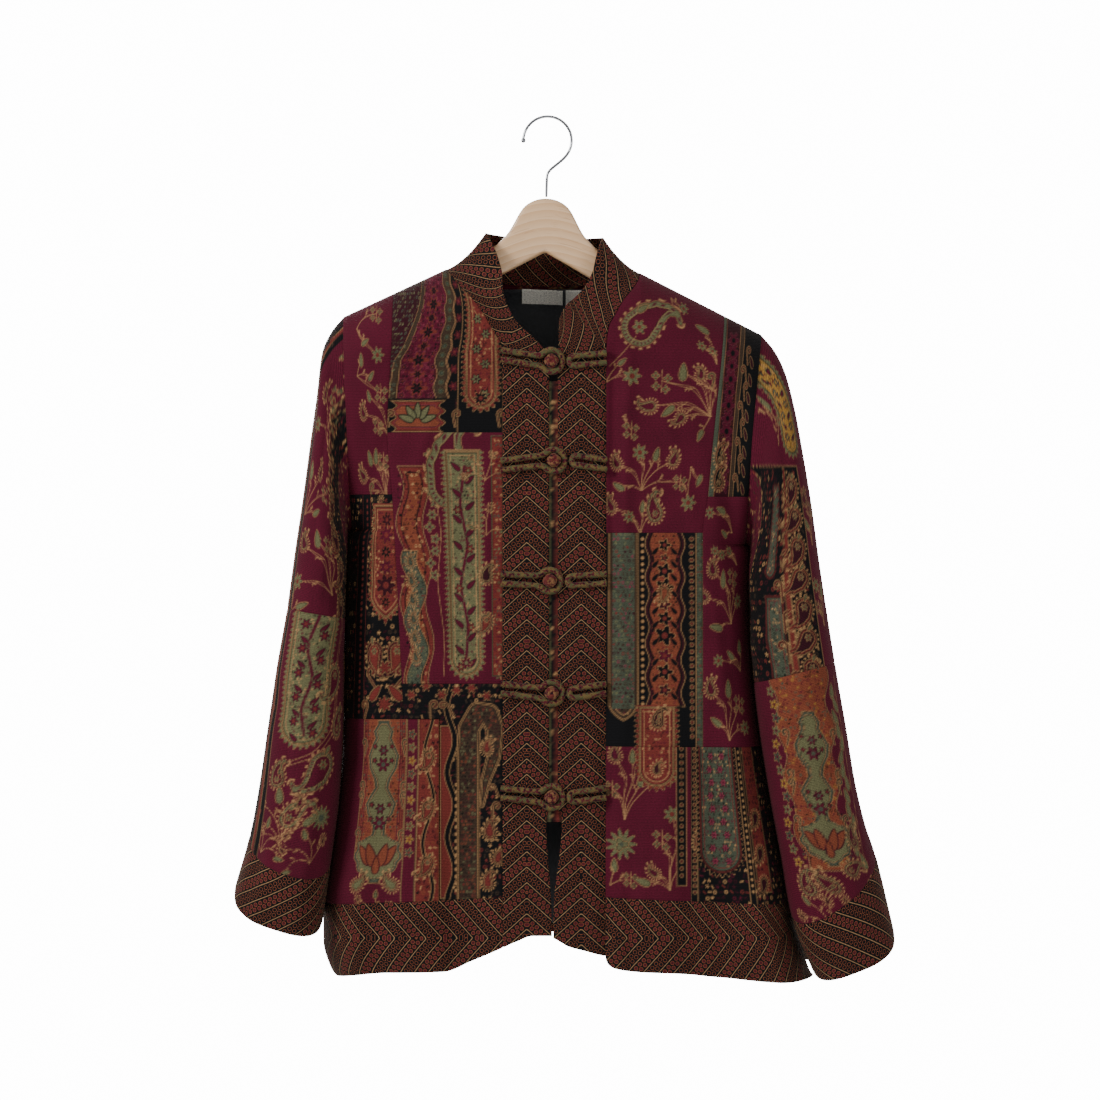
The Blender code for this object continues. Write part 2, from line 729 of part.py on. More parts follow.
def band_sheet(side):
    """A front band, from the hem to the neckline."""
    front = FRONTS[side]
    top = neck_start(front) + 0.5
    levels = list(HEM_ROWS[:-1]) + [level for level in front_levels(side) if level <= top]
    grid = [band_point(front, np.array(BAND_COLUMNS), level) for level in levels]
    if side == RIGHT:
        grid = [row[::-1] for row in grid]
    return sheet_of(grid, "trim_jacquard")


def body_sheets():
    sheets = panel_sheets()
    sheets["band_l"] = band_sheet(LEFT)
    sheets["band_r"] = band_sheet(RIGHT)
    rows = back_rows()
    grid = [back_row_points(*row) for row in rows]
    sheets["back"] = sheet_of(grid[2:], "burgundy_jacquard")
    sheets["back_hem_band"] = sheet_of(grid[:3], "trim_jacquard")
    sheets["collar"] = sheet_of(collar_grid(), "trim_jacquard", outward=(-4, 0, -190))
    for side, tag in ((LEFT, "l"), (RIGHT, "r")):
        sleeve = SLEEVES[side]
        half = len(ARMHOLE_ROWS[side])
        for name, first, last, front_material, back_material in (
            (f"sleeve_{tag}_upper", 0, sleeve.elbow, "burgundy_jacquard", "dark_jacquard"),
            (f"sleeve_{tag}_lower", sleeve.elbow, sleeve.cuff, "olive_jacquard", "dark_jacquard"),
        ):
            grid = np.array([sleeve_ring(side, station) for station in range(first, last + 1)])
            centre = grid.reshape(-1, 3).mean(axis=0)
            behind = np.concatenate([grid[:, half - 1 :], grid[:, :1]], axis=1)
            sheets[f"{name}_front"] = sheet_of(grid[:, :half], front_material, outward=centre)
            sheets[f"{name}_back"] = sheet_of(behind, back_material, outward=centre)
        grid = np.array([sleeve_ring(side, station) for station in np.linspace(sleeve.cuff, sleeve.end, 3)])
        centre = grid.reshape(-1, 3).mean(axis=0)
        sheets[f"cuff_{tag}"] = sheet_of(grid, "trim_jacquard", closed=True, outward=centre)
    return sheets


def sweep(path, radii, sides):
    """A closed round tube along a path that never runs along Y, as points and faces."""
    path = np.array(path, float)
    tangents = np.gradient(path, axis=0)
    tangents /= np.linalg.norm(tangents, axis=1, keepdims=True)
    across = np.cross(tangents, (0.0, 1.0, 0.0))
    across /= np.linalg.norm(across, axis=1, keepdims=True)
    up = np.cross(across, tangents)
    turns = np.arange(sides) * 2 * math.pi / sides
    rings = (
        path[:, None]
        + np.asarray(radii)[:, None, None] * np.cos(turns)[None, :, None] * across[:, None]
        + np.asarray(radii)[:, None, None] * np.sin(turns)[None, :, None] * up[:, None]
    )
    return rings.reshape(-1, 3), ring_faces(len(path), sides)


def ring_faces(count, sides):
    """Faces of a closed body made of rings, each turning right about the way the rings advance."""
    faces = [tuple(range(sides))[::-1], tuple(range((count - 1) * sides, count * sides))]
    for r in range(count - 1):
        for c in range(sides):
            a, b = r * sides + c, r * sides + (c + 1) % sides
            faces.append((a, b, b + sides, a + sides))
    return faces


# The frogs: knot place, rise of the left and right arms' outer ends.
FROGS = (
    (3.5, -247, 6, 3),
    (6.0, -346, -5, -4),
    (2.0, -465.5, 2, 2),
    (3.7, -577, 4.5, 4.5),
    (3.7, -680, 4, 4),
)
FROG_TUBE = 3.1
FROG_KNOT = 7.4
FROG_PAIR = 4.7  # half the distance between an arm's two runs
FROG_ENDS = (-47.0, 58.0)
LOOP_RADIUS = FROG_KNOT + FROG_TUBE + LAY_GAP
LOOP_ANGLE = 0.78 * math.pi  # the loop closes behind the knot up to this angle
RUN_POINTS = 4
TURN_POINTS = 7


def front_y(x, z):
    """Depth of the front's middle surface at a place away from the sides."""
    return fold_depth(x, z) - body_depth(DEPTH.front, x, z, SHOULDER_ROUND_FRONT)


def laid_on_front(flat, radius):
    """Points of a path in X and Z, moved out to lie on the front."""
    flat = np.array(flat, float)
    y = front_y(flat[:, 0], flat[:, 1]) - CLOTH / 2 - LAY_GAP - radius
    return np.stack([flat[:, 0], y, flat[:, 1]], axis=-1)


def frog_path(end_x, stop_x, knot_z, rise, turn):
    """An arm's path: in along one run, round the turn's points, and back out along the other run."""
    above, below = [], []
    for share in np.linspace(0, 1, RUN_POINTS):
        x = end_x + (stop_x - end_x) * share
        middle = knot_z + rise * (1 - share)
        above.append((x, middle + FROG_PAIR))
        below.append((x, middle - FROG_PAIR))
    return above + turn + below[::-1]


def loop_path(knot_x, knot_z, rise):
    """The left arm, which goes round the knot."""
    angles = LOOP_ANGLE * np.linspace(1, -1, TURN_POINTS)
    turn = [(knot_x + LOOP_RADIUS * math.cos(a), knot_z + LOOP_RADIUS * math.sin(a)) for a in angles]
    return frog_path(FROG_ENDS[0], knot_x - 1.1 * LOOP_RADIUS, knot_z, rise, turn)


def arm_path(knot_x, knot_z, rise):
    """The right arm, which turns back beside the loop."""
    middle = knot_x + LOOP_RADIUS + 2 * FROG_TUBE + LAY_GAP + FROG_PAIR
    angles = math.pi / 2 * np.linspace(1, -1, TURN_POINTS)[1:-1]
    turn = [(middle - FROG_PAIR * math.cos(a), knot_z + FROG_PAIR * math.sin(a)) for a in angles]
    return frog_path(FROG_ENDS[1], middle, knot_z, rise, turn)


def make_knot(name, knot_x, knot_z):
    """A ball that touches the front band with its foot."""
    middle_y = laid_on_front([(knot_x, knot_z)], FROG_KNOT)[0][1]
    turns = np.linspace(0, math.pi, 8)[1:-1]
    path = [(knot_x, middle_y, knot_z + FROG_KNOT * math.cos(turn)) for turn in turns]
    points, faces = sweep(path, FROG_KNOT * np.sin(turns), 10)
    make_object(name, points, faces, "frog_cloth")


def make_frogs():
    for number, (knot_x, knot_z, left_rise, right_rise) in enumerate(FROGS, start=1):
        arms = {"loop": loop_path(knot_x, knot_z, left_rise), "arm": arm_path(knot_x, knot_z, right_rise)}
        for tag, flat in arms.items():
            path = laid_on_front(flat, FROG_TUBE)
            points, faces = sweep(path, np.full(len(path), FROG_TUBE), 6)
            make_object(f"frog_{number}_{tag}", points, faces, "frog_cloth")
        make_knot(f"frog_{number}_knot", knot_x, knot_z)


UNDERLAP = SimpleNamespace(left=-14.0, right=25.0, top=-264.0, foot=-705.0, rows=9)


def underlap_sheet():
    """The strip behind the front opening, which closes the gap between the two bands."""
    columns = np.array([UNDERLAP.left, 0.0, 12.0, UNDERLAP.right])
    grid = []
    for z in np.linspace(UNDERLAP.foot, UNDERLAP.top, UNDERLAP.rows):
        y = front_y(columns, np.full(len(columns), z)) + CLOTH + LAY_GAP
        grid.append(np.stack([columns, y, np.full(len(columns), z)], axis=-1))
    return sheet_of(grid, "rust_jacquard")


LINING_COLUMNS = slice(8, 13)
LABELS = (
    # name, left, right, top at the left, top at the right, height
    ("neck_label", -26.5, 15.0, -170.5, -172.0, 14.0),
    ("size_label", 18.0, 42.0, -171.5, -172.0, 19.0),
)


def lining_sheet():
    """The strip of back lining that shows at the neck and behind the slit of the front."""
    rows = back_rows()[1:-1]
    grid = np.array([back_row_points(*row)[LINING_COLUMNS] for row in rows])
    sheet = sheet_of(grid, "lining_satin", thickness=LINING)
    shift = CLOTH / 2 + LAY_GAP + LINING / 2
    sheet.points = sheet.points - sheet.normals * shift
    sheet.grid = sheet.points.reshape(grid.shape)
    return sheet


def depth_on(grid, x, z):
    """Depth of a back sheet at a place, read between its own points."""
    ys = [np.interp(x, row[::-1, 0], row[::-1, 1]) for row in grid]
    zs = [np.interp(x, row[::-1, 0], row[::-1, 2]) for row in grid]
    return float(np.interp(z, zs, ys))


def label_sheet(lining, left, right, top_left, top_right, height):
    grid = []
    for drop in (height, 0.0):
        row = []
        for share in (1.0, 0.5, 0.0):  # from right to left, so that the front faces out
            x = left + (right - left) * share
            z = top_left + (top_right - top_left) * share - drop
            row.append((x, depth_on(lining.grid, x, z) - LINING / 2 - LAY_GAP - LABEL / 2, z))
        grid.append(row)
    return sheet_of(grid, "label_tape", thickness=LABEL)


# The hanger, upright: out from the middle, top and foot of the wood, half thickness, squareness.
HANGER = table(
    "out top foot half square",
    (0, -80.5, -136, 6.5, 5),
    (8, -81.3, -140.5, 6.5, 5),
    (14, -83.5, -143.8, 6.5, 5),
    (22, -89, -148, 6.5, 5),
    (28, -98, -151.5, 6.5, 5),
    (33, -108, -154, 6.5, 5),
    (38, -117, -157, 6.5, 5),
    (44, -123.5, -160.2, 6.5, 4.6),
    (54, -133, -165.5, 6.7, 4),
    (70, -144.0, -173, 7, 3),
    (84, -152.6, -180, 7.5, 2.3),
    (97.25, -158.6, -186, 8, 2.0),
    (110, -164.0, -191.5, 9, 2.0),
    (150, -182.7, -209, 12, 2.1),
    (185, -199.8, -222, 14, 2.1),
    (195, -205.0, -223.5, 12.5, 2.1),
    (199, -209, -220, 9, 2.1),
)
HANGER_TILT = math.radians(1.2)
HANGER_SIDES = 12
HOOK_WIRE = 1.6
HOOK_RADIUS = 24.4
HOOK_BALL = 2.6
HOOK_CENTRE = -(HOOK_RADIUS - HOOK_WIRE)
HOOK_TIP, HOOK_TURN = 176.0, -45.0  # the round stretch runs between these angles, in degrees
HOOK_SHANK = -60.0  # the straight shank starts at this height


def tilted(points):
    """Turned about the bearing point, as the hanger hangs a little low on the viewer's right."""
    points = np.array(points, float)
    x, z = points[:, 0].copy(), points[:, 2].copy()
    points[:, 0] = x * math.cos(HANGER_TILT) + z * math.sin(HANGER_TILT)
    points[:, 2] = z * math.cos(HANGER_TILT) - x * math.sin(HANGER_TILT)
    return points


def make_hanger():
    """The wooden hanger: rounded sections across it, from tip to tip."""
    outs = sorted({*HANGER.keys, 4, 18, 25})
    stations = [-out for out in outs[:0:-1]] + outs
    turns = np.arange(HANGER_SIDES) * 2 * math.pi / HANGER_SIDES
    points = []
    for x in stations:
        out = abs(x)
        top, foot = float(HANGER.top(out)), float(HANGER.foot(out))
        sine, cosine = np.sin(turns), np.cos(turns)
        power = 2 / float(HANGER.square(out))
        y = float(HANGER.half(out)) * np.sign(cosine) * np.abs(cosine) ** power
        z = (top + foot) / 2 + (top - foot) / 2 * np.sign(sine) * np.abs(sine) ** power
        points += [(x, float(py), float(pz)) for py, pz in zip(y, z)]
    make_object("hanger_wood", tilted(points), ring_faces(len(stations), HANGER_SIDES), "beech")


def make_hook():
    """The hook's wire: a ball at its free end, round over the top, and down the shank to the wood."""
    path = []
    for angle in np.radians(np.linspace(HOOK_TIP, HOOK_TURN, 19)):
        path.append((HOOK_RADIUS * math.cos(angle), 0.0, HOOK_CENTRE + HOOK_RADIUS * math.sin(angle)))
    tip_x, _, tip_z = path[0]
    start = np.array(path[-1])
    shank = np.array([0.0, 0.0, HOOK_SHANK])
    bend = start + np.array([-9.5, 0.0, -9.5])
    hold = shank + np.array([0.0, 0.0, 8.0])
    for t in np.linspace(0, 1, 7)[1:]:
        u = 1 - t
        path.append(tuple(start * u**3 + bend * 3 * u**2 * t + hold * 3 * u * t**2 + shank * t**3))
    path.append((0.0, 0.0, float(HANGER.top(0)) + SEAM_GAP))
    ball = np.radians(np.linspace(20, 142, 7))
    ball_path = [(tip_x, 0.0, tip_z - HOOK_BALL * (0.8 + math.cos(turn))) for turn in ball]
    radii = list(HOOK_BALL * np.sin(ball)) + [HOOK_WIRE] * len(path)
    points, faces = sweep(ball_path + path, radii, 8)
    make_object("hook", tilted(points), faces, "chrome")


def main():
    for item in list(bpy.data.objects):
        bpy.data.objects.remove(item)
    sheets = body_sheets()
    share_normals(list(sheets.values()))
    for half in ("front", "back"):
        open_underarm(sheets[f"sleeve_l_upper_{half}"], LEFT)
        open_underarm(sheets[f"sleeve_r_upper_{half}"], RIGHT)
    for name, sheet in sheets.items():
        make_wall(name, sheet)
    make_wall("underlap", underlap_sheet())
    lining = lining_sheet()
    make_wall("back_lining", lining)
    for name, *sizes in LABELS:
        make_wall(name, label_sheet(lining, *sizes))
    make_frogs()
    make_hanger()
    make_hook()


main()
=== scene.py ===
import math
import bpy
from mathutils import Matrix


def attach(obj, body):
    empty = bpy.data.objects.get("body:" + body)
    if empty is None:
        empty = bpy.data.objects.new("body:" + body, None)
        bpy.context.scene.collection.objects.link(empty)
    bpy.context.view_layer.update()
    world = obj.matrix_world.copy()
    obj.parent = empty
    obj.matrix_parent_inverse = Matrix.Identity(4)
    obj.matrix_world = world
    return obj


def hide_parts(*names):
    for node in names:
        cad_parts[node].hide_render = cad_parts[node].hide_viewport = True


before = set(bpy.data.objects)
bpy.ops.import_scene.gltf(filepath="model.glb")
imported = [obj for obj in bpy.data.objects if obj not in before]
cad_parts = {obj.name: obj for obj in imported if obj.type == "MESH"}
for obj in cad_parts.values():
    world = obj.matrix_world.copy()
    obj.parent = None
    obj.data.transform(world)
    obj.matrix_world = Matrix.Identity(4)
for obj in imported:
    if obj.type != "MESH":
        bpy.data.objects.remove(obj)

# %% [markdown]
# # A mandarin collar jacket on its hanger
#
# The jacket is cut from patches of paisley and flower jacquard, edged with bands of chevron
# trim cloth, and closed with five knotted cloth frogs. It hangs on a beech hanger.
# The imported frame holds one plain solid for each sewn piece. This lesson lays thin, finely
# divided cloth over those solids and gives every surface its weave.

# %% Measure the plain solids

from types import SimpleNamespace

import bpy
import mathutils
import numpy as np

MM = 0.001
LEFT, RIGHT = -1, 1
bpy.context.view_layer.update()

# %% [markdown]
# ## Curves from short tables
#
# A pattern cutter notes a few measurements and joins them with a smooth curve. `table` does the
# same: each named column becomes a curve against the first one. Its slopes never let the curve
# swing past the noted values, so a straight seam stays straight.

# %% Curves for seams and outlines


def steady_slopes(keys, values):
    """Slopes for a curve through the values that never swings past them."""
    steps = np.diff(values) / np.diff(keys)
    before, after = steps[:-1], steps[1:]
    same_way = before * after > 0
    total = np.where(same_way, before + after, 1.0)
    inner = np.where(same_way, 2 * before * after / total, 0.0)
    return np.concatenate([steps[:1], inner, steps[-1:]])


def table(columns, *rows):
    """A short table: each named column as a smooth curve against the first one."""
    names = columns.split()
    keys = np.array([row[0] for row in rows], float)

    def curve_of(column):
        values = np.array([row[column] for row in rows], float)
        slopes = steady_slopes(keys, values)

        def at(key):
            key = np.clip(np.asarray(key, float), keys[0], keys[-1])
            low = np.clip(np.searchsorted(keys, key) - 1, 0, len(keys) - 2)
            span = keys[low + 1] - keys[low]
            t = (key - keys[low]) / span
            rise = values[low + 1] - values[low]
            start = slopes[low] * span
            end = slopes[low + 1] * span
            square, cube = 3 * rise - 2 * start - end, start + end - 2 * rise
            return values[low] + t * start + t * t * square + t**3 * cube

        return at

    return SimpleNamespace(**{name: curve_of(i) for i, name in enumerate(names) if i})


def rounded(distance, radius):
    """0 at an edge, 1 past the radius: the quarter circle that cloth makes as it turns away."""
    inside = 1 - np.clip(np.asarray(distance, float) / radius, 0, 1)
    return np.sqrt(1 - inside**2)


# %% [markdown]
# ## The cut of the body
#
# All sizes are millimetres in the frame's own axes: X to the viewer's right, Z up from the hook,
# and the front faces -Y. Each front has its side seam, its band seam, its hem and the seams
# between its patches. These are the solids' own numbers, so the cloth lies on them. Only just under
# the armpits the side seams lie up to 2 mm further out, which closes a slit beside the sleeve.

# %% Seams of both fronts

BAND_LEVEL = -780.0  # seam between the patches and the hem band
HEM_LEVEL = -828.0
VENT_OPEN = 6.0
NECK_DIP = 17.0
SIDE_ROUND = 40.0
ARMHOLE_DEPTH = 52.0
SEAM_SET_BACK = 16.0  # the side seams hang this far behind the middle, beside the sleeves
SEAM_SET_BACK_OVER = 45.0
SHOULDER_ROUND_FRONT = 60.0
SHOULDER_ROUND_BACK = 40.0
BACK_HEM = -850.0
BACK_VENT_TOP = -788.0
DEPTH = table(
    "z front back",
    (-865, 66, 60),
    (-780, 65, 58),
    (-600, 62, 55),
    (-415, 58, 52),
    (-300, 54, 50),
    (-150, 50, 48),
)
FRONTS = {
    LEFT: SimpleNamespace(
        shoulder=(-205.0, -201.0),
        neck=(-102.0, -153.0),
        armpit=(-196.0, -415.0),
        armhole_bow=0.0,
        fan=-318.0,
        neck_row=-257.0,
        hem_corner=-862.0,
        side=table(
            "z x",
            (-862, -212),
            (-842, -219),
            (-815, -226),
            (-780, -226),
            (-745, -220),
            (-680, -211),
            (-635, -206.5),
            (-593, -206),
            (-553, -205.6),
            (-503, -205),
            (-465, -203.5),
            (-440, -203),
            (-427, -202.5),
            (-418, -200),
            (-415, -196),
        ),
        inner=table(
            "level x",
            (-850, -45),
            (-300, -45),
            (-232, -46),
            (-216, -55),
            (-200, -64),
            (-185, -75),
            (-172, -87),
            (-161, -96),
            (-153, -102),
        ),
        edge=table("level x", (-840, 4), (-797, 3.5), (-705, -2), (-690, 1), (-249, 1)),
        hem=table("x z", (-212, -862), (-195, -858), (-160, -854), (-103, -853), (-75, -842), (-45, -829)),
        band_hem=table("x z", (-45, -829), (-31, -823), (-15, -817), (4, -817)),
        column=table(
            "level x", (-603, -143), (-568, -145), (-380, -155), (-318, -160), (-178, -155), (-153, -155)
        ),
        low_column=table("level x", (-850, -108), (-603, -108)),
    ),
    RIGHT: SimpleNamespace(
        shoulder=(214.0, -219.0),
        neck=(92.5, -157.0),
        armpit=(198.0, -430.0),
        armhole_bow=-3.0,
        fan=-343.0,
        neck_row=-269.0,
        hem_corner=-862.0,
        side=table(
            "z x",
            (-864, 267),
            (-830, 258),
            (-800, 247),
            (-742, 236),
            (-678, 224),
            (-640, 217.5),
            (-588, 210.5),
            (-530, 205.5),
            (-485, 203.5),
            (-450, 203.5),
            (-441, 203.5),
            (-433, 201.5),
            (-430, 198),
        ),
        inner=table(
            "level x",
            (-850, 57),
            (-300, 58),
            (-232, 58),
            (-214, 60),
            (-200, 67),
            (-186, 75),
            (-176, 83),
            (-167, 89),
            (-157, 92.5),
        ),
        edge=table("level x", (-840, 5.5), (-797, 5.5), (-705, 14), (-690, 10), (-249, 10)),
        hem=table(
            "x z", (57, -838), (60, -846), (66, -850), (85, -853), (131, -855), (172, -859), (240, -864),
            (267, -862)
        ),
        band_hem=table("x z", (5, -819), (21, -828), (39, -833), (57, -838)),
        column=table("level x", (-625, 154), (-418, 154), (-382, 159), (-300, 166), (-157, 177)),
        low_column=table("level x", (-850, 142), (-625, 142)),
    ),
}
BACK_RISE = table(
    "x z", (-150, 0), (-90, 5), (-45, 14), (-12, 24), (8, 26), (30, 21), (57, 13), (110, 4), (150, 0)
)  # of the back hem at the middle
BACK_NECK = table(
    "x z", (-102, -153), (-86, -159), (-60, -164), (-3, -168), (52, -166), (78, -162), (92.5, -157)
)
print("fronts:", {side: front.shoulder for side, front in FRONTS.items()})

# %% [markdown]
# ## Folds and creases
#
# Heavy jacquard hangs in long, soft folds from the shoulders and gathers small creases where the
# front band is sewn on. Each row below is one fold: where it starts and ends, its half width, and
# how deep it goes. Troughs are positive and ridges negative. The rows are uneven on purpose.

# %% Folds of the fronts

FOLDS = [
    # x and z at the top, x and z at the foot, half width, depth
    (-188, -300, -150, -560, 20, 3.5),
    (-120, -620, -128, -862, 22, -4.0),
    (-75, -560, -84, -850, 16, 3.5),
    (-160, -640, -176, -862, 18, 3.0),
    (66, -225, 64, -420, 7, 4.0),
    (80, -215, 76, -400, 8, -3.0),
    (57, -520, 58, -846, 8, 4.5),
    (190, -262, 182, -430, 12, 5.0),
    (120, -560, 112, -860, 20, -4.0),
    (160, -600, 176, -862, 18, 4.0),
    (214, -700, 226, -862, 16, -3.0),
]
CREASES = [
    # small ones, of the same columns
    (-130, -230, -185, -400, 9, 1.7),
    (-100, -250, -150, -420, 8, -1.5),
    (-168, -420, -190, -560, 7, 1.8),
    (-92, -420, -98, -600, 7, 1.4),
    (-60, -330, -62, -520, 6, -1.4),
    (-140, -700, -150, -840, 8, -1.6),
    (-100, -700, -96, -840, 7, 1.6),
    (-200, -640, -212, -800, 8, -1.7),
    (-30, -500, -28, -700, 5, 0.9),
    (-22, -260, -26, -420, 5, 0.8),
    (30, -620, 34, -820, 6, 1.1),
    (28, -280, 32, -460, 5, -0.8),
    (140, -250, 184, -410, 9, 1.7),
    (110, -280, 150, -430, 8, -1.5),
    (165, -440, 186, -590, 7, 1.8),
    (95, -440, 100, -620, 7, 1.4),
    (72, -440, 76, -600, 6, -1.3),
    (134, -690, 146, -850, 8, 1.7),
    (96, -700, 92, -850, 7, -1.5),
    (200, -650, 222, -830, 8, 1.8),
    (80, -760, 82, -850, 5, 1.2),
]


def fold_depth(x, z):
    """How far the folds push the front back at a place."""
    total = np.zeros(np.broadcast(x, z).shape)
    for top_x, top_z, foot_x, foot_z, width, depth in FOLDS + CREASES:
        along = (top_z - z) / (top_z - foot_z)
        middle = top_x + (foot_x - top_x) * np.clip(along, 0, 1)
        ends = np.clip(along * 5, 0, 1) * np.clip((1.3 - along) * 4, 0, 1)
        total = total + depth * ends * np.exp(-(((x - middle) / width) ** 2))
    return total


print(len(FOLDS), "folds and", len(CREASES), "creases on the fronts")

# %% [markdown]
# ## One surface for the whole body
#
# Both fronts and the back are parts of one flattened tube. Its rows run level across the body and
# fan up to the shoulders, and a quarter circle turns the cloth at the side seams and the shoulder
# seams. Working out every patch from one surface is why their edges meet.

# %% The body's surface


def shoulder_slope(front):
    return (front.neck[1] - front.shoulder[1]) / (front.shoulder[0] - front.neck[0])


def hem_share(level):
    """0 at the seam of the hem band, 1 at the hem."""
    return np.clip((BAND_LEVEL - level) / (BAND_LEVEL - HEM_LEVEL), 0, 1)


def fan_ratio(front):
    return (front.shoulder[1] - front.fan) / (front.neck[1] - front.fan)


def side_height(front, level):
    """Height of a row's outer end, from its level at the front band."""
    height = level - 8 * np.clip((-600 - level) / (-600 - BAND_LEVEL), 0, 1)
    height = height + (front.hem_corner - height) * hem_share(level)
    return np.where(level < front.fan, height, front.fan + (level - front.fan) * fan_ratio(front))


def level_at(front, side_z):
    return side_z if side_z <= front.fan else front.fan + (side_z - front.fan) / fan_ratio(front)


def side_point(front, side_z):
    """X and half depth of the side seam, and above the armpit of the armhole."""
    height = front.shoulder[1] - front.armpit[1]
    down = np.clip((front.shoulder[1] - side_z) / height, 0, 1)
    armhole_x = front.shoulder[0] + (front.armpit[0] - front.shoulder[0]) * down
    armhole_x = armhole_x + front.armhole_bow * 4 * down * (1 - down)
    in_armhole = side_z >= front.armpit[1]
    x = np.where(in_armhole, armhole_x, front.side.x(side_z))
    depth = np.where(in_armhole, ARMHOLE_DEPTH * 2 * np.sqrt(down * (1 - down)), 0.0)
    return x, depth


def seam_back(front, side_z):
    """How far behind the middle the side seam hangs, below the armpit."""
    return SEAM_SET_BACK * np.clip((front.armpit[1] - side_z) / SEAM_SET_BACK_OVER, 0, 1)


def shoulder_line(x):
    """Height of the shoulder seams, carried straight across between the neck points."""
    left, right = FRONTS[LEFT], FRONTS[RIGHT]
    across = np.clip((x - left.neck[0]) / (right.neck[0] - left.neck[0]), 0, 1)
    line = left.neck[1] + (right.neck[1] - left.neck[1]) * across
    line = line - abs(shoulder_slope(left)) * np.clip(left.neck[0] - x, 0, None)
    return line - abs(shoulder_slope(right)) * np.clip(x - right.neck[0], 0, None)


def body_depth(depth, x, z, radius):
    """Half depth of the body away from its sides, rounding to nothing at the shoulders."""
    return depth(z) * rounded(shoulder_line(x) - z, radius)


def panel_point(front, x, level):
    """A point of a front's patches, between its side and its band seam."""
    side_z = side_height(front, level)
    side_x, side_depth = side_point(front, side_z)
    share = (x - side_x) / (front.inner.x(level) - side_x)
    z = side_z + (level - side_z) * share
    z = z + (front.hem.z(x) - z) * hem_share(level)
    side_depth = side_depth + VENT_OPEN * hem_share(level)
    middle = body_depth(DEPTH.front, x, z, SHOULDER_ROUND_FRONT)
    turn = rounded(np.abs(x - side_x), SIDE_ROUND)
    y = (seam_back(front, side_z) - side_depth) * (1 - turn) + (fold_depth(x, z) - middle) * turn
    return np.stack(np.broadcast_arrays(x, y, z), axis=-1)


def band_point(front, share, level):
    """A point of a front band: share 0 is its seam with the patches, 1 its edge at centre front."""
    seam_x = front.inner.x(level)
    x = seam_x + (front.edge.x(level) - seam_x) * share
    near_top = np.clip(1 - (level_at(front, front.neck_row) - level) / 60, 0, 1)
    z = level - NECK_DIP * share**0.8 * near_top
    z = z + (front.band_hem.z(x) - z) * hem_share(level)
    y = fold_depth(x, z) - body_depth(DEPTH.front, x, z, SHOULDER_ROUND_FRONT)
    return np.stack(np.broadcast_arrays(x, y, z), axis=-1)


def back_point(x, left_z, right_z, up):
    """A point of the back, on the row between two side heights. up is 1 at the shoulder and neck seams."""
    x_left, depth_left = side_point(FRONTS[LEFT], left_z)
    x_right, depth_right = side_point(FRONTS[RIGHT], right_z)
    share = (x - x_left) / (x_right - x_left)
    in_neck = (x > FRONTS[LEFT].neck[0]) & (x < FRONTS[RIGHT].neck[0])
    top = np.where(in_neck, BACK_NECK.z(x), shoulder_line(x))
    straight = FRONTS[LEFT].shoulder[1] * (1 - share) + FRONTS[RIGHT].shoulder[1] * share
    z = left_z * (1 - share) + right_z * share + (top - straight) * up
    low = np.clip((BACK_VENT_TOP - z) / (BACK_VENT_TOP - BACK_HEM), 0, 1)
    z = z + BACK_RISE.z(x) * low
    turn = rounded(np.minimum(x - x_left, x_right - x), SIDE_ROUND)
    vent = VENT_OPEN * low
    y_left = depth_left + seam_back(FRONTS[LEFT], left_z)
    y_right = depth_right + seam_back(FRONTS[RIGHT], right_z)
    y = (np.where(share < 0.5, y_left, y_right) + vent) * (1 - turn)
    y = y + body_depth(DEPTH.back, x, z, SHOULDER_ROUND_BACK) * turn
    return np.stack(np.broadcast_arrays(x, y, z), axis=-1)


def front_y(x, z):
    """Depth of the front's surface at a place away from the sides."""
    return fold_depth(x, z) - body_depth(DEPTH.front, x, z, SHOULDER_ROUND_FRONT)


print("front surface at the second frog:", round(float(front_y(0.0, -346.0)), 1), "mm")

# %% [markdown]
# ## From a grid of points to a piece of cloth
#
# A sewn piece is a grid of points, as fine as its weave needs. The faces look outwards, and the
# border is turned in like a seam allowance, so that a piece has soft, closed edges. A piece that is
# also seen from inside gets a second layer. The grid's own millimetres are kept as an attribute,
# which the weave follows wherever the cloth bends.

# %% Cloth from a grid

SEAM_TURN = 1.3
SEAM_DIP = 0.7
PROUD = 0.8  # the cloth's outer face lies this far outside its seam surface, as the solids' does


def lines_between(breaks, step):
    """Even positions, about a step apart, that include every break."""
    parts = []
    for a, b in zip(breaks, breaks[1:]):
        parts.append(np.linspace(a, b, max(round(abs(b - a) / step), 1), endpoint=False))
    return np.concatenate(parts + [[breaks[-1]]])


def outward_of(points):
    across, up = np.gradient(points, axis=1), np.gradient(points, axis=0)
    normals = np.cross(across, up)
    return normals / np.maximum(np.linalg.norm(normals, axis=-1, keepdims=True), 1e-9)


def edge_distance(rows, columns, step):
    """Distance of each grid point from the nearest border, in millimetres."""
    r = np.minimum(np.arange(rows), np.arange(rows)[::-1])[:, None]
    c = np.minimum(np.arange(columns), np.arange(columns)[::-1])[None, :]
    return np.minimum(r, c) * step


def attribute_to(mesh, name, kind, field, values):
    layer = mesh.attributes.new(name, kind, "POINT")
    layer.data.foreach_set(field, np.ascontiguousarray(values, dtype=np.float32).ravel())


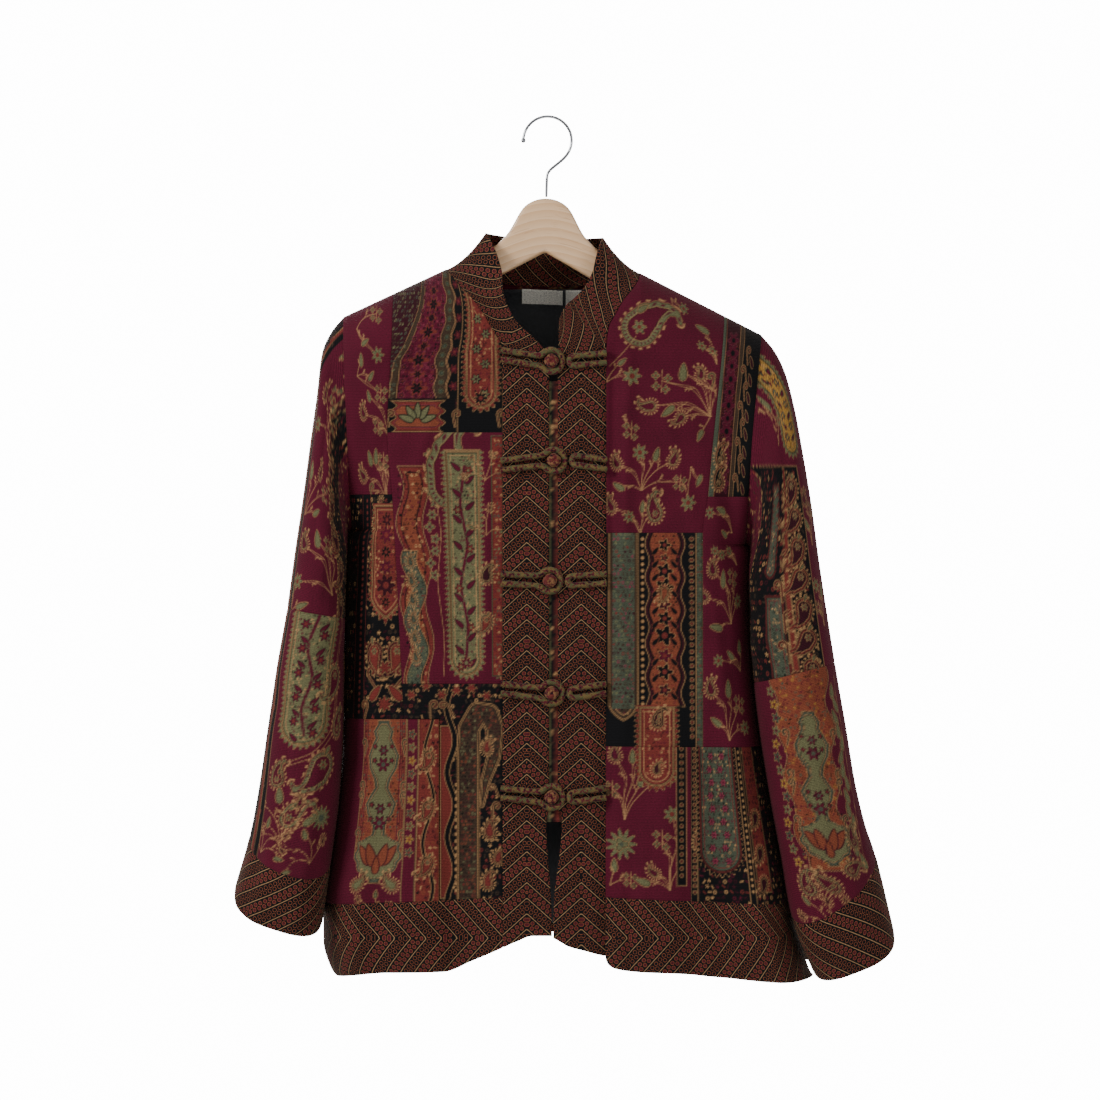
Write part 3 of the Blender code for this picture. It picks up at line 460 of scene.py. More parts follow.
def make_cloth(name, points, lay, lined=False, keep=None):
    """A cloth object from a grid of points, seen from outside with its rows upwards. lay holds the
    grid's own millimetres across and up."""
    rows, columns = points.shape[:2]
    normals = outward_of(points)
    index = np.arange(rows * columns).reshape(rows, columns)
    quads = np.stack([index[:-1, :-1], index[:-1, 1:], index[1:, 1:], index[1:, :-1]], axis=-1)
    quads = quads[keep] if keep is not None else quads.reshape(-1, 4)
    used, quads = np.unique(quads, return_inverse=True)
    quads = quads.reshape(-1, 4)
    normal = normals.reshape(-1, 3)[used]
    place = points.reshape(-1, 3)[used] + normal * PROUD
    flat = lay.reshape(-1, 2)[used]
    low, high = flat.min(axis=0), flat.max(axis=0)
    count = len(place)
    starts = quads.ravel()
    ends = np.roll(quads, -1, axis=1).ravel()
    key = np.minimum(starts, ends) * count + np.maximum(starts, ends)
    _, inverse, uses = np.unique(key, return_inverse=True, return_counts=True)
    border = uses[inverse] == 1
    starts, ends = starts[border], ends[border]
    if lined:
        inner = place - normal * SEAM_TURN
        place = np.concatenate([place, inner])
        flat = np.concatenate([flat, flat])
        faces = np.concatenate(
            [quads, quads[:, ::-1] + count, np.stack([ends, starts, starts + count, ends + count], axis=1)]
        )
    else:
        rim = np.unique(np.concatenate([starts, ends]))
        place = np.concatenate([place, place[rim] - normal[rim] * SEAM_TURN])
        flat = np.concatenate([flat, flat[rim]])
        turned = np.zeros(count, int)
        turned[rim] = count + np.arange(len(rim))
        faces = np.concatenate([quads, np.stack([ends, starts, turned[starts], turned[ends]], axis=1)])
    mesh = bpy.data.meshes.new(name)
    mesh.from_pydata((place * MM).tolist(), [], faces.tolist())
    attribute_to(mesh, "lay", "FLOAT2", "vector", flat)
    mesh.shade_smooth()
    piece = bpy.data.objects.new(f"{name}_cloth", mesh)
    bpy.context.scene.collection.objects.link(piece)
    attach(piece, "root")
    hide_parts(name)
    area = np.linalg.norm(
        np.cross(points[1:, 1:] - points[:-1, :-1], points[1:, :-1] - points[:-1, 1:]), axis=-1
    ) / 2
    area = area[keep] if keep is not None else area
    widths = np.linalg.norm(np.diff(points, axis=1), axis=-1).sum(axis=1)
    lengths = np.linalg.norm(np.diff(points, axis=0), axis=-1).sum(axis=0)
    cut = (float(widths.max()) * MM, float(lengths.max()) * MM)
    CUTS[name] = [round(value * 1000) for value in cut]
    return piece


CUTS = {}

# %% [markdown]
# ## The patches of the fronts
#
# Every patch lies between two seams of its front, and between two levels. Rows bunch up where the
# cloth rolls over the shoulder and columns where it turns at the side, so the points stay about
# evenly spread over the cloth itself.

# %% Front patches

FINE = 1.15
BAND_FINE = 1.8


def levels_between(front, low, high):
    """Levels of a patch, evenly spread along the cloth, also where it rolls over the shoulder."""
    roll = front.neck[1] - SHOULDER_ROUND_FRONT
    arc = SHOULDER_ROUND_FRONT * math.pi / 2
    if high <= roll:
        return lines_between([low, high], FINE)
    turn = lines_between([0, arc * 0.97, arc], FINE)[1:] / arc * math.pi / 2
    rolled = roll + SHOULDER_ROUND_FRONT * np.sin(turn)
    rolled = rolled[rolled <= high + 0.01]
    return np.concatenate([lines_between([min(low, roll - FINE), roll], FINE), rolled])


def make_patch(name, side, low, high, first, stops, keep=None):
    """A patch between two levels. first and stops are curves of X against level; None is the side seam."""
    front = FRONTS[side]
    levels = levels_between(front, low, high)[:, None]
    if first is None:
        start = side_point(front, side_height(front, levels))[0]
    else:
        start = first(levels)
    edges = [start] + [stop(levels) for stop in stops]
    widths = [float(np.abs(b - a).max()) for a, b in zip(edges, edges[1:])]
    arc = 84.0  # length of the cloth's turn at the side, over SIDE_ROUND of width
    columns, along, offset = [], [], 0.0
    for number, (a, b, width) in enumerate(zip(edges, edges[1:], widths)):
        turns = first is None and number == 0
        length = width - SIDE_ROUND + arc if turns else width
        t = np.linspace(0, length, max(round(length / FINE), 2) + 1)
        if turns:
            turned = SIDE_ROUND * (1 - np.cos(np.clip(t / arc, 0, 1) * math.pi / 2))
            reach = np.where(t < arc, turned, t - arc + SIDE_ROUND)
            share = reach / width
        else:
            share = t / length
        t, share = (t[1:], share[1:]) if number else (t, share)
        columns.append(a + (b - a) * share)
        along.append(np.broadcast_to(offset + t, (len(levels), len(t))))
        offset += length
    x, along = np.concatenate(columns, axis=1), np.concatenate(along, axis=1)
    points = panel_point(front, x, levels)
    inner_x = x[:, -1:]
    lay_x = inner_x + side * (along[:, -1:] - along)
    lay = np.stack([lay_x, points[..., 2]], axis=-1)
    if side == RIGHT:
        points, lay = points[:, ::-1], lay[:, ::-1]
    dip = SEAM_DIP * np.exp(-edge_distance(*points.shape[:2], FINE) / 1.6)
    points = points - outward_of(points) * dip[..., None]
    keep = None if keep is None else keep(lay[:-1, :-1] + (lay[1:, 1:] - lay[:-1, :-1]) / 2)
    return make_cloth(name, points, lay, lined=name.startswith("hem"), keep=keep)


left, right = FRONTS[LEFT], FRONTS[RIGHT]
top_l, top_r = left.neck[1], right.neck[1]
corner_r = level_at(right, -382)
seam_r = level_at(right, -418)
PATCHES = {}


def patch(name, *cut, **more):
    PATCHES[name] = make_patch(name, *cut, **more)


patch("front_l_shoulder_panel", LEFT, -380, top_l, None, [left.column.x])
patch("front_l_column_panel", LEFT, -318, top_l, left.column.x, [left.inner.x])
patch("front_l_spear_panel", LEFT, -603, -380, None, [left.column.x])
patch("front_l_paisley_panel", LEFT, -568, -318, left.column.x, [left.inner.x])
patch("front_l_vase_panel", LEFT, BAND_LEVEL, -603, None, [left.low_column.x])
patch("hem_band_l", LEFT, HEM_LEVEL, BAND_LEVEL, None, [left.low_column.x, left.inner.x])
patch("front_r_column_panel", RIGHT, corner_r, top_r, None, [right.column.x])
patch("front_r_chest_panel", RIGHT, seam_r, top_r, right.column.x, [right.inner.x])
patch("front_r_side_panel", RIGHT, -630, corner_r, None, [right.column.x])
patch("front_r_spear_panel", RIGHT, -630, seam_r, right.column.x, [right.inner.x])
patch("front_r_tongue_panel", RIGHT, BAND_LEVEL, -630, None, [right.low_column.x])
patch("front_r_floral_panel", RIGHT, BAND_LEVEL, -630, right.low_column.x, [right.inner.x])
patch("hem_band_r", RIGHT, HEM_LEVEL, BAND_LEVEL, None, [right.low_column.x, right.inner.x])
print({name: len(piece.data.polygons) for name, piece in PATCHES.items()})

# %% [markdown]
# The scroll patch is L-shaped: it also runs under the paisley patch as far as its seam. It is cut
# from a full grid by leaving out the faces that the vase patch takes.

# %% The L-shaped scroll patch


def scroll_keeps(middle):
    x, z = middle[..., 0], middle[..., 1]
    return (z > -603) | (x > left.low_column.x(z))


patch("front_l_scroll_panel", LEFT, BAND_LEVEL, -568, left.column.x, [left.inner.x], keep=scroll_keeps)
print("scroll patch:", len(PATCHES["front_l_scroll_panel"].data.polygons), "faces")

# %% [markdown]
# ## The front bands and the strip behind them
#
# Each front is edged with a band of trim cloth, from the hem to the collar. Behind the opening lies
# the underlap, a plain strip that shows in the slit. All three follow the surface of the fronts.

# %% Front bands and underlap

BAND_COLUMNS = 30


def make_band(name, side):
    front = FRONTS[side]
    top = level_at(front, front.neck_row)
    levels = lines_between([HEM_LEVEL, BAND_LEVEL, top], BAND_FINE)[:, None]
    share = np.linspace(0, 1, BAND_COLUMNS)[None, :]
    points = band_point(front, share, levels)
    width = abs(float(front.edge.x(-500) - front.inner.x(-500)))
    across = np.broadcast_to(share * width, points.shape[:2])
    lay = np.stack([across, points[..., 2]], axis=-1)
    if side == RIGHT:
        points, lay = points[:, ::-1], lay[:, ::-1]
    dip = SEAM_DIP * np.exp(-edge_distance(*points.shape[:2], BAND_FINE) / 1.6)
    return make_cloth(name, points - outward_of(points) * dip[..., None], lay, lined=True)


UNDERLAP = SimpleNamespace(left=-14.0, right=25.0, top=-264.0, foot=-705.0, behind=2.0)


def make_underlap():
    z, x = np.meshgrid(
        np.arange(UNDERLAP.foot, UNDERLAP.top, 3.0), np.arange(UNDERLAP.left, UNDERLAP.right, 3.0),
        indexing="ij"
    )
    points = np.stack([x, front_y(x, z) + UNDERLAP.behind, z], axis=-1)
    return make_cloth("underlap", points, np.stack([x, z], axis=-1), lined=True)


PATCHES["band_l"], PATCHES["band_r"] = make_band("band_l", LEFT), make_band("band_r", RIGHT)
PATCHES["underlap"] = make_underlap()
print("bands:", len(PATCHES["band_l"].data.polygons), "faces each")

# %% [markdown]
# ## The back
#
# The photograph doesn't show the back, so it is one plain panel in the jacket's main cloth. It
# shares its side and shoulder seams with the fronts. Its grid is coarser, as no small folds are
# known there; a few long ones like the fronts' keep it from looking ironed.

# %% Back and its hem band

COARSE = 1.9
BELOW_ARMHOLE, ARMHOLE_HEIGHT = 370, 214
TURN_COLUMNS, FLAT_COLUMNS, ROLL_ROWS = 36, 176, 22  # about COARSE apart on the cloth
BACK_FOLDS = [
    # x at the top, x at the foot, top z, half width, depth
    (-118, -128, -300, 26, 3.0),
    (-40, -52, -420, 30, -2.5),
    (46, 58, -380, 24, -2.2),
    (128, 150, -330, 26, -2.5),
    (168, 182, -280, 18, 3.0),
]


def back_grid(rows):
    """Points of the back for rows of left height, right height and rise towards the shoulders."""
    left_z, right_z, up = (np.array(column)[:, None] for column in zip(*rows))
    x_left, x_right = side_point(left, left_z)[0], side_point(right, right_z)[0]
    turn = SIDE_ROUND * (1 - np.cos(np.linspace(0, math.pi / 2, TURN_COLUMNS)))
    flat = np.linspace(0, 1, FLAT_COLUMNS)[1:-1]
    columns = [
        x_left + turn, x_left + SIDE_ROUND + (x_right - x_left - 2 * SIDE_ROUND) * flat,
        x_right - turn[::-1]
    ]
    x = np.concatenate(columns, axis=1)[:, ::-1]
    points = back_point(x, left_z, right_z, up)
    for top_x, foot_x, top_z, width, depth in BACK_FOLDS:
        along = np.clip((top_z - points[..., 2]) / (top_z - BACK_HEM), 0, 1)
        middle = top_x + (foot_x - top_x) * along
        points[..., 1] -= depth * np.minimum(along * 4, 1) * np.exp(-(((x - middle) / width) ** 2))
    arc = np.cumsum(np.linalg.norm(np.diff(points, axis=1, prepend=points[:, :1]), axis=-1), axis=1)
    return points, np.stack([arc - arc[:, -1:] / 2, points[..., 2]], axis=-1)


def back_rows():
    """Side heights of the rows from the hem band's seam to the shoulders."""
    rows = []
    for t in lines_between([0, 1], COARSE / BELOW_ARMHOLE):
        level_l = BAND_LEVEL + (left.armpit[1] - BAND_LEVEL) * t
        level_r = BAND_LEVEL + (right.armpit[1] - BAND_LEVEL) * t
        rows.append((float(side_height(left, level_l)), float(side_height(right, level_r)), 0.0))
    roll = 0.82  # of the armhole's height, where the back starts to roll over the shoulder
    rolled = roll + (1 - roll) * np.sin(np.linspace(0, math.pi / 2, ROLL_ROWS))[1:]
    for t in np.concatenate([lines_between([0, roll], COARSE / ARMHOLE_HEIGHT)[1:], rolled]):
        height_l = left.armpit[1] + (left.shoulder[1] - left.armpit[1]) * t
        height_r = right.armpit[1] + (right.shoulder[1] - right.armpit[1]) * t
        rows.append((height_l, height_r, t))
    return rows


seam_rows = back_rows()
PATCHES["back"] = make_cloth("back", *back_grid(seam_rows))
hem_rows = [(z, z, 0.0) for z in lines_between([BACK_HEM, seam_rows[0][0]], COARSE)]
PATCHES["back_hem_band"] = make_cloth("back_hem_band", *back_grid(hem_rows), lined=True)
print("back:", len(PATCHES["back"].data.polygons), "faces")

# %% [markdown]
# ## The sleeves
#
# A sleeve is a tube from the armhole to the cuff. The table gives where its outer and inner lines
# run at each station, how deep it is, and how boxy. It hangs from the shoulder, so it is widest
# across the elbow, and its cuff dips towards the front.

# %% Sleeves and cuffs

SLEEVE_COLUMNS = "station outer_x outer_z inner_x inner_z depth middle_y drop square"
SLEEVES = {
    LEFT: SimpleNamespace(
        rings=table(
            SLEEVE_COLUMNS,
            (0, -205, -201, -196, -415, 52, 0, 0, 2.0),
            (1, -217, -216, -200.6, -418, 53, -3, 0, 2.1),
            (2, -226, -237, -201, -422, 54, -8, 0, 2.2),
            (3, -231, -280, -201.2, -428, 55, -13, 0, 2.3),
            (4, -237, -325, -201.4, -435, 56, -17, 0, 2.4),
            (5, -244, -380, -202.1, -446, 57, -21, 0, 2.5),
            (6, -252, -435, -202.8, -465, 58, -24, 0, 2.5),
            (7, -260, -493, -203.7, -503, 58, -26, 0, 2.5),
            (8, -270, -550, -204.5, -557, 58, -27, 0, 2.5),
            (9, -279, -610, -205.4, -615, 57, -28, 3, 2.5),
            (10, -288, -670, -208.8, -677, 55, -28, 10, 2.4),
            (11, -298, -721, -217.5, -745, 51, -28, 24, 2.4),
            (12, -313, -774, -225.5, -801, 49, -28, 24, 2.9),
        ),
        elbow=7,
        cuff=11,
        end=12,
    ),
    RIGHT: SimpleNamespace(
        rings=table(
            SLEEVE_COLUMNS,
            (0, 214, -219, 198, -430, 52, 0, 0, 2.0),
            (1, 227, -235, 202.3, -433, 53, -3, 0, 2.1),
            (2, 237, -256, 202.7, -437, 54, -8, 0, 2.2),
            (3, 247, -295, 202.4, -443, 55, -13, 0, 2.3),
            (4, 255, -340, 201.8, -451, 56, -17, 0, 2.4),
            (5, 263, -390, 201.4, -464, 57, -21, 0, 2.5),
            (6, 270, -443, 201.7, -487, 58, -24, 0, 2.5),
            (7, 278, -497, 202.8, -525, 58, -26, 0, 2.5),
            (8, 286, -547, 206, -567, 58, -27, 0, 2.5),
            (9, 296, -605, 212.8, -623, 57, -28, 0, 2.5),
            (10, 307, -670, 222.8, -685, 55, -28, 6, 2.4),
            (11, 317, -710, 232.2, -735, 53, -28, 14, 2.4),
            (12, 327, -740, 242.5, -793, 51, -28, 26, 2.4),
            (13, 346, -818, 264.5, -849, 49, -28, 20, 2.9),
        ),
        elbow=8,
        cuff=12,
        end=13,
    ),
}
SLEEVE_FINE = 1.3
ROUND_RADIUS = 48.0  # a sleeve's, on the whole
STATION_APART = 62.0


def sleeve_points(side, stations, turns):
    """Points round the sleeve. A turn of 0 is its outer line, pi its inner one, past the front."""
    front, rings = FRONTS[side], SLEEVES[side].rings
    power = 2 / rings.square(stations)
    across = np.sign(np.cos(turns)) * np.abs(np.cos(turns)) ** power
    out = np.sign(np.sin(turns)) * np.abs(np.sin(turns)) ** power
    share = (1 - across) / 2
    down = (1 - np.cos(turns)) / 2
    bow = front.armhole_bow * 4 * down * (1 - down) * np.clip(1 - stations, 0, 1)
    x = rings.outer_x(stations) * (1 - share) + rings.inner_x(stations) * share + bow
    z = rings.outer_z(stations) * (1 - share) + rings.inner_z(stations) * share
    z = z - rings.drop(stations) * np.where(out > 0, out, 0.3 * out)
    y = rings.middle_y(stations) - rings.depth(stations) * out
    return np.stack(np.broadcast_arrays(x, y, z), axis=-1)


SLEEVE_CREASES = [
    # station and turn of the middle, half length in stations, half width in turns, slant, depth
    (3.5, 1.25, 2.2, 0.20, 0.05, 2.6),
    (5.0, 1.95, 1.8, 0.16, -0.06, 2.0),
    (2.2, 0.70, 1.4, 0.22, 0.08, -1.8),
    (6.3, 2.40, 0.22, 0.60, 0.0, 1.8),
    (7.1, 2.20, 0.20, 0.70, 0.3, -1.6),
    (7.8, 2.35, 0.25, 0.60, -0.2, 2.0),
    (8.6, 0.90, 0.30, 0.50, 0.3, 1.6),
    (9.8, 1.30, 1.6, 0.16, 0.04, 2.4),
    (10.4, 1.90, 1.5, 0.18, -0.05, -2.0),
    (11.2, 0.80, 1.2, 0.20, 0.05, 1.8),
    (4.0, -1.30, 2.2, 0.22, 0.05, 2.6),
    (7.4, -2.30, 0.30, 0.70, 0.0, 2.0),
    (9.6, -1.70, 2.0, 0.20, -0.04, 2.4),
]


def sleeve_creases(stations, turns):
    """How far the creases press the sleeve in."""
    total = np.zeros(np.broadcast(stations, turns).shape)
    for at, turn, length, width, slant, depth in SLEEVE_CREASES:
        along = (stations - at) / length
        round_it = (turns - turn - slant * (stations - at)) / width
        total = total + depth * np.exp(-(along**2) - round_it**2)
    return total


def make_sleeve(name, side, first, last, half=None, lined=False):
    """A stretch of sleeve between two stations: its front half, its back half or the whole way round."""
    start, stop = {"front": (0, math.pi), "back": (-math.pi, 0), None: (-math.pi, math.pi)}[half]
    fine = SLEEVE_FINE if half == "front" else SLEEVE_FINE * 1.5
    turns = np.linspace(start, stop, round((stop - start) * ROUND_RADIUS / fine))
    stations = np.linspace(last, first, round(STATION_APART * (last - first) / fine))
    points = sleeve_points(side, stations[:, None], turns[None, :])
    pressed = sleeve_creases(stations[:, None], turns[None, :])
    arc = np.cumsum(np.linalg.norm(np.diff(points, axis=1, prepend=points[:, :1]), axis=-1), axis=1)
    arc = arc - arc[:, np.argmin(np.abs(turns)), None]
    heights = points.mean(axis=1, keepdims=True)[..., 2]
    lay = np.stack([-side * arc, np.broadcast_to(heights, arc.shape)], axis=-1)
    if side == RIGHT:
        points, lay, pressed = points[:, ::-1], lay[:, ::-1], pressed[:, ::-1]
    dip = pressed + SEAM_DIP * np.exp(-edge_distance(*points.shape[:2], fine) / 1.6)
    return make_cloth(name, points - outward_of(points) * dip[..., None], lay, lined=lined)


for side, tag in ((LEFT, "l"), (RIGHT, "r")):
    sleeve = SLEEVES[side]
    for half in ("front", "back"):
        for part, first, last in (("upper", 0, sleeve.elbow), ("lower", sleeve.elbow, sleeve.cuff)):
            name = f"sleeve_{tag}_{part}_{half}"
            PATCHES[name] = make_sleeve(name, side, first, last, half)
    PATCHES[f"cuff_{tag}"] = make_sleeve(f"cuff_{tag}", side, sleeve.cuff, sleeve.end, lined=True)
sewn = [name for name in PATCHES if name.startswith(("sleeve", "cuff"))]
print({name: len(PATCHES[name].data.polygons) for name in sewn})

# %% [markdown]
# ## The standing collar
#
# A mandarin collar is a stiffened strip that follows the neckline and stands up from it, open at
# centre front. Its lower edge is worked out from the front bands, the patches' neck seams and the
# back. The table gives its upper edge by place: 0 and 6 are its ends, 3 is the centre back.

# %% Collar

COLLAR_TOP = table(
    "place x y z",
    (0, -2, -50, -237),
    (0.5, -15, -50, -223),
    (1, -31, -48, -208),
    (1.25, -40, -44, -192),
    (1.5, -45, -40, -175),
    (1.7, -46, -33, -158),
    (1.85, -53, -20, -134),
    (2, -62, 0, -116),
    (2.3, -50, 22, -117),
    (2.6, -28, 33, -119),
    (3, -3, 37, -120),
    (3.4, 20, 33, -120),
    (3.7, 43, 22, -120),
    (4, 55, 0, -121),
    (4.15, 50, -20, -134),
    (4.3, 44, -31, -158),
    (4.5, 36, -38, -173),
    (4.75, 26, -43, -184),
    (5, 19, -46, -190),
    (5.5, 13, -48, -200),
    (6, 11, -49, -206),
)
COLLAR_SAG = 5.0
COLLAR_COLUMNS, COLLAR_ROWS = 330, 36
IN_COLLAR = np.array([-4.0, 0.0, -190.0])
NECK_COLUMNS = (-102, -70, -37, -3, 31, 62, 92.5)


def neckline(places):
    """Points of the neckline at the given places."""
    points = []
    for place in places:
        side = LEFT if place < 3 else RIGHT
        front = FRONTS[side]
        start = level_at(front, front.neck_row)
        from_end = place if side == LEFT else 6 - place
        if from_end < 1:
            points.append(band_point(front, 1 - from_end, start))
        elif from_end < 2:
            level = start + (front.neck[1] - start) * (from_end - 1)
            points.append(panel_point(front, front.inner.x(level), level))
        else:
            x = np.interp((place - 2) / 2 * 6, range(7), NECK_COLUMNS)
            points.append(back_point(x, left.shoulder[1], right.shoulder[1], 1))
    return np.array([np.asarray(point, float).reshape(3) for point in points])


def make_collar():
    places = np.linspace(0, 6, COLLAR_COLUMNS)
    seam = neckline(places)
    top = np.stack([COLLAR_TOP.x(places), COLLAR_TOP.y(places), COLLAR_TOP.z(places)], axis=-1)
    share = np.linspace(0, 1, COLLAR_ROWS)[:, None, None]
    points = seam + (top - seam) * share
    beside_neck = np.clip(1.4 - np.abs(np.abs(places - 3) - 1), 0, 1)
    points[..., 2] -= COLLAR_SAG * 4 * share[..., 0] * (1 - share[..., 0]) * beside_neck
    arc = np.cumsum(np.linalg.norm(np.diff(seam, axis=0, prepend=seam[:1]), axis=-1))
    height = np.linalg.norm(top - seam, axis=-1)
    lay = np.stack([np.broadcast_to(arc, points.shape[:2]), share[..., 0] * height], axis=-1)
    if ((points - IN_COLLAR) * outward_of(points)).sum() < 0:
        points, lay = points[:, ::-1], lay[:, ::-1]
    return make_cloth("collar", points, lay, lined=True)


PATCHES["collar"] = make_collar()
print("collar:", CUTS["collar"], "mm cut")

# %% [markdown]
# ## Frogs
#
# Each frog is one long tube of bias-cut cloth. Its loop side doubles back round the knot, its arm
# side ends under the knot, and the knot itself is the same tube worked into a round button. The
# tubes are swept along paths laid on the front bands.

# %% Tubes swept along a path

FROGS = (
    # knot x and z, rise of the left and right arms' outer ends
    (3.5, -247, 6, 3),
    (6.0, -346, -5, -4),
    (2.0, -465.5, 2, 2),
    (3.7, -577, 4.5, 4.5),
    (3.7, -680, 4, 4),
)
FROG_TUBE = 3.1
FROG_KNOT = 7.4
FROG_PAIR = 4.7  # half the distance between an arm's two runs
FROG_ENDS = (-47.0, 58.0)
LAID = 1.2  # the front's cloth and a hair of air, under whatever is laid on it


def resampled(path, step):
    path = np.array(path, float)
    reach = np.concatenate([[0], np.cumsum(np.linalg.norm(np.diff(path, axis=0), axis=1))])
    at = np.linspace(0, reach[-1], max(int(reach[-1] / step), 4) + 1)
    spread = np.stack([np.interp(at, reach, path[:, i]) for i in range(path.shape[1])], axis=-1)
    for _ in range(2):
        spread[1:-1] = (spread[:-2] + 2 * spread[1:-1] + spread[2:]) / 4
    return spread


def swept(path, radii, sides, closed=False):
    """Points, faces and lay (round and along, in millimetres) of a tube along a path."""
    tangents = np.gradient(path, axis=0)
    if closed:
        tangents = np.roll(path, -1, axis=0) - np.roll(path, 1, axis=0)
    tangents /= np.linalg.norm(tangents, axis=1, keepdims=True)
    across = np.cross(tangents, (0.02, 1.0, 0.03))
    across /= np.linalg.norm(across, axis=1, keepdims=True)
    up = np.cross(across, tangents)
    turns = np.arange(sides) * 2 * math.pi / sides
    radii = np.broadcast_to(radii, len(path))[:, None, None]
    cosine, sine = np.cos(turns)[None, :, None], np.sin(turns)[None, :, None]
    rings = path[:, None] + radii * (cosine * across[:, None] + sine * up[:, None])
    along = np.concatenate([[0], np.cumsum(np.linalg.norm(np.diff(path, axis=0), axis=1))])
    lay = np.stack(np.broadcast_arrays(np.abs(turns - math.pi)[None, :] * 3.0, along[:, None]), axis=-1)
    faces = []
    for r in range(len(path) if closed else len(path) - 1):
        for c in range(sides):
            a, b = r * sides + c, r * sides + (c + 1) % sides
            above = (r + 1) % len(path) * sides
            faces.append((a, b, above + (c + 1) % sides, above + c))
    if not closed:
        faces += [tuple(range(sides))[::-1], tuple(range((len(path) - 1) * sides, len(path) * sides))]
    return rings.reshape(-1, 3), faces, lay.reshape(-1, 2)


def make_tube(name, points, faces, lay):
    mesh = bpy.data.meshes.new(name)
    mesh.from_pydata((points * MM).tolist(), [], [tuple(int(i) for i in face) for face in faces])
    attribute_to(mesh, "lay", "FLOAT2", "vector", lay)
    mesh.shade_smooth()
    piece = bpy.data.objects.new(f"{name}_cloth", mesh)
    bpy.context.scene.collection.objects.link(piece)
    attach(piece, "root")
    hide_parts(name)
    return piece


def frog_path(knot_x, knot_z, end_x, rise, reach):
    """An arm's path: in along one run, round its turn, and back out. The left arm's turn is a loop
    round the knot, the right arm's a small one beside it."""
    if end_x < knot_x:
        way, turn_x, spread, run_to = -1, knot_x, reach, knot_x - reach * 1.1
        widening, turned = 0.5, 0.78
    else:
        way, spread, widening, turned = 1, FROG_PAIR, 0.0, 0.5
        turn_x = run_to = knot_x + reach + 2 * FROG_TUBE + 0.4 + FROG_PAIR
    first_run, last_run = [], []
    for share in np.linspace(0, 1, 9):
        x = end_x + (run_to - end_x) * share
        middle = knot_z + rise * (1 - share)
        apart = FROG_PAIR + widening * share**3
        first_run.append((x, middle + apart))
        last_run.append((x, middle - apart))
    turn = []
    for angle in np.linspace(1, -1, 15) * math.pi * turned:
        turn.append((turn_x - way * spread * math.cos(angle), knot_z + spread * math.sin(angle)))
    return first_run + turn + last_run[::-1]


FROG_PIECES = {}
for number, (knot_x, knot_z, left_rise, right_rise) in enumerate(FROGS, start=1):
    for tag, end_x, rise in (("loop", FROG_ENDS[0], left_rise), ("arm", FROG_ENDS[1], right_rise)):
        flat = resampled(frog_path(knot_x, knot_z, end_x, rise, FROG_KNOT + FROG_TUBE + 0.4), 0.9)
        along = np.arange(len(flat)) * 0.9
        radii = FROG_TUBE * (1 + 0.06 * np.sin(along / 2.6 + number) + 0.05 * np.sin(along / 6.1))
        y = front_y(flat[:, 0], flat[:, 1]) - LAID - FROG_TUBE
        path = np.stack([flat[:, 0], y, flat[:, 1]], axis=-1)
        FROG_PIECES[f"frog_{number}_{tag}"] = make_tube(f"frog_{number}_{tag}", *swept(path, radii, 14))
    turns = np.linspace(0, 6 * math.pi, 160, endpoint=False)
    reach = 3.3 + 1.7 * np.cos(4 * turns / 3)
    deep = 2.6 * np.sin(4 * turns / 3) - 2.0 * (reach / 5.0) ** 2
    centre_y = front_y(knot_x, knot_z) - LAID - FROG_KNOT + 1.0
    path = np.stack(
        [knot_x + reach * np.cos(turns), centre_y - deep, knot_z + reach * np.sin(turns)], axis=-1
    )
    FROG_PIECES[f"frog_{number}_knot"] = make_tube(
        f"frog_{number}_knot", *swept(path, 2.35, 12, closed=True)
    )
print(len(FROG_PIECES), "frog pieces")

# %% [markdown]
# ## Lining and labels
#
# Inside the collar the photograph shows a strip of dark satin lining and two woven labels, sewn on
# at the neck. The lining follows the back at a small distance, and the labels lie on the lining.

# %% Neck lining and labels

LINING_OFF = 2.2
LABELS = {
    # left, right, top at the left, top at the right, height
    "neck_label": (-26.5, 15.0, -170.5, -172.0, 14.0),
    "size_label": (18.0, 42.0, -171.5, -172.0, 19.0),
}


def lining_y(x, z):
    return body_depth(DEPTH.back, x, z, SHOULDER_ROUND_BACK) - LINING_OFF


def make_lining():
    z, x = np.meshgrid(np.linspace(-815, -171, 200), np.linspace(70, -76, 60), indexing="ij")
    points = np.stack([x, lining_y(x, z), z], axis=-1)
    return make_cloth("back_lining", points, np.stack([x, z], axis=-1), lined=True)


def make_label(name, x_left, x_right, top_left, top_right, height):
    across, up = np.meshgrid(np.linspace(0, 1, 60), np.linspace(0, 1, 24), indexing="ij")
    across, up = across.T, up.T
    x = x_left + (x_right - x_left) * across
    z = top_left + (top_right - top_left) * across - height * (1 - up)
    lift = 0.9 + 0.5 * np.sin(across * math.pi) * (1 - up)
    points = np.stack([x, lining_y(x, z) - lift, z], axis=-1)
    return make_cloth(name, points, np.stack([x - x_left, z - top_left + height], axis=-1), lined=True)


PATCHES["back_lining"] = make_lining()
for name, sizes in LABELS.items():
    PATCHES[name] = make_label(name, *sizes)
print("lining and", len(LABELS), "labels")

# %% [markdown]
# ## The hanger
#
# A contoured hanger is shaped from a thick beech blank, and its hook is bent from chromed wire.
# The solids already hold both forms in few faces. A copy of each is joined up in edit mode, its
# triangles are paired into quads, and a subdivision surface rounds it, which gives the turned
# edges of sanded wood and of drawn wire.

# %% Hanger and hook


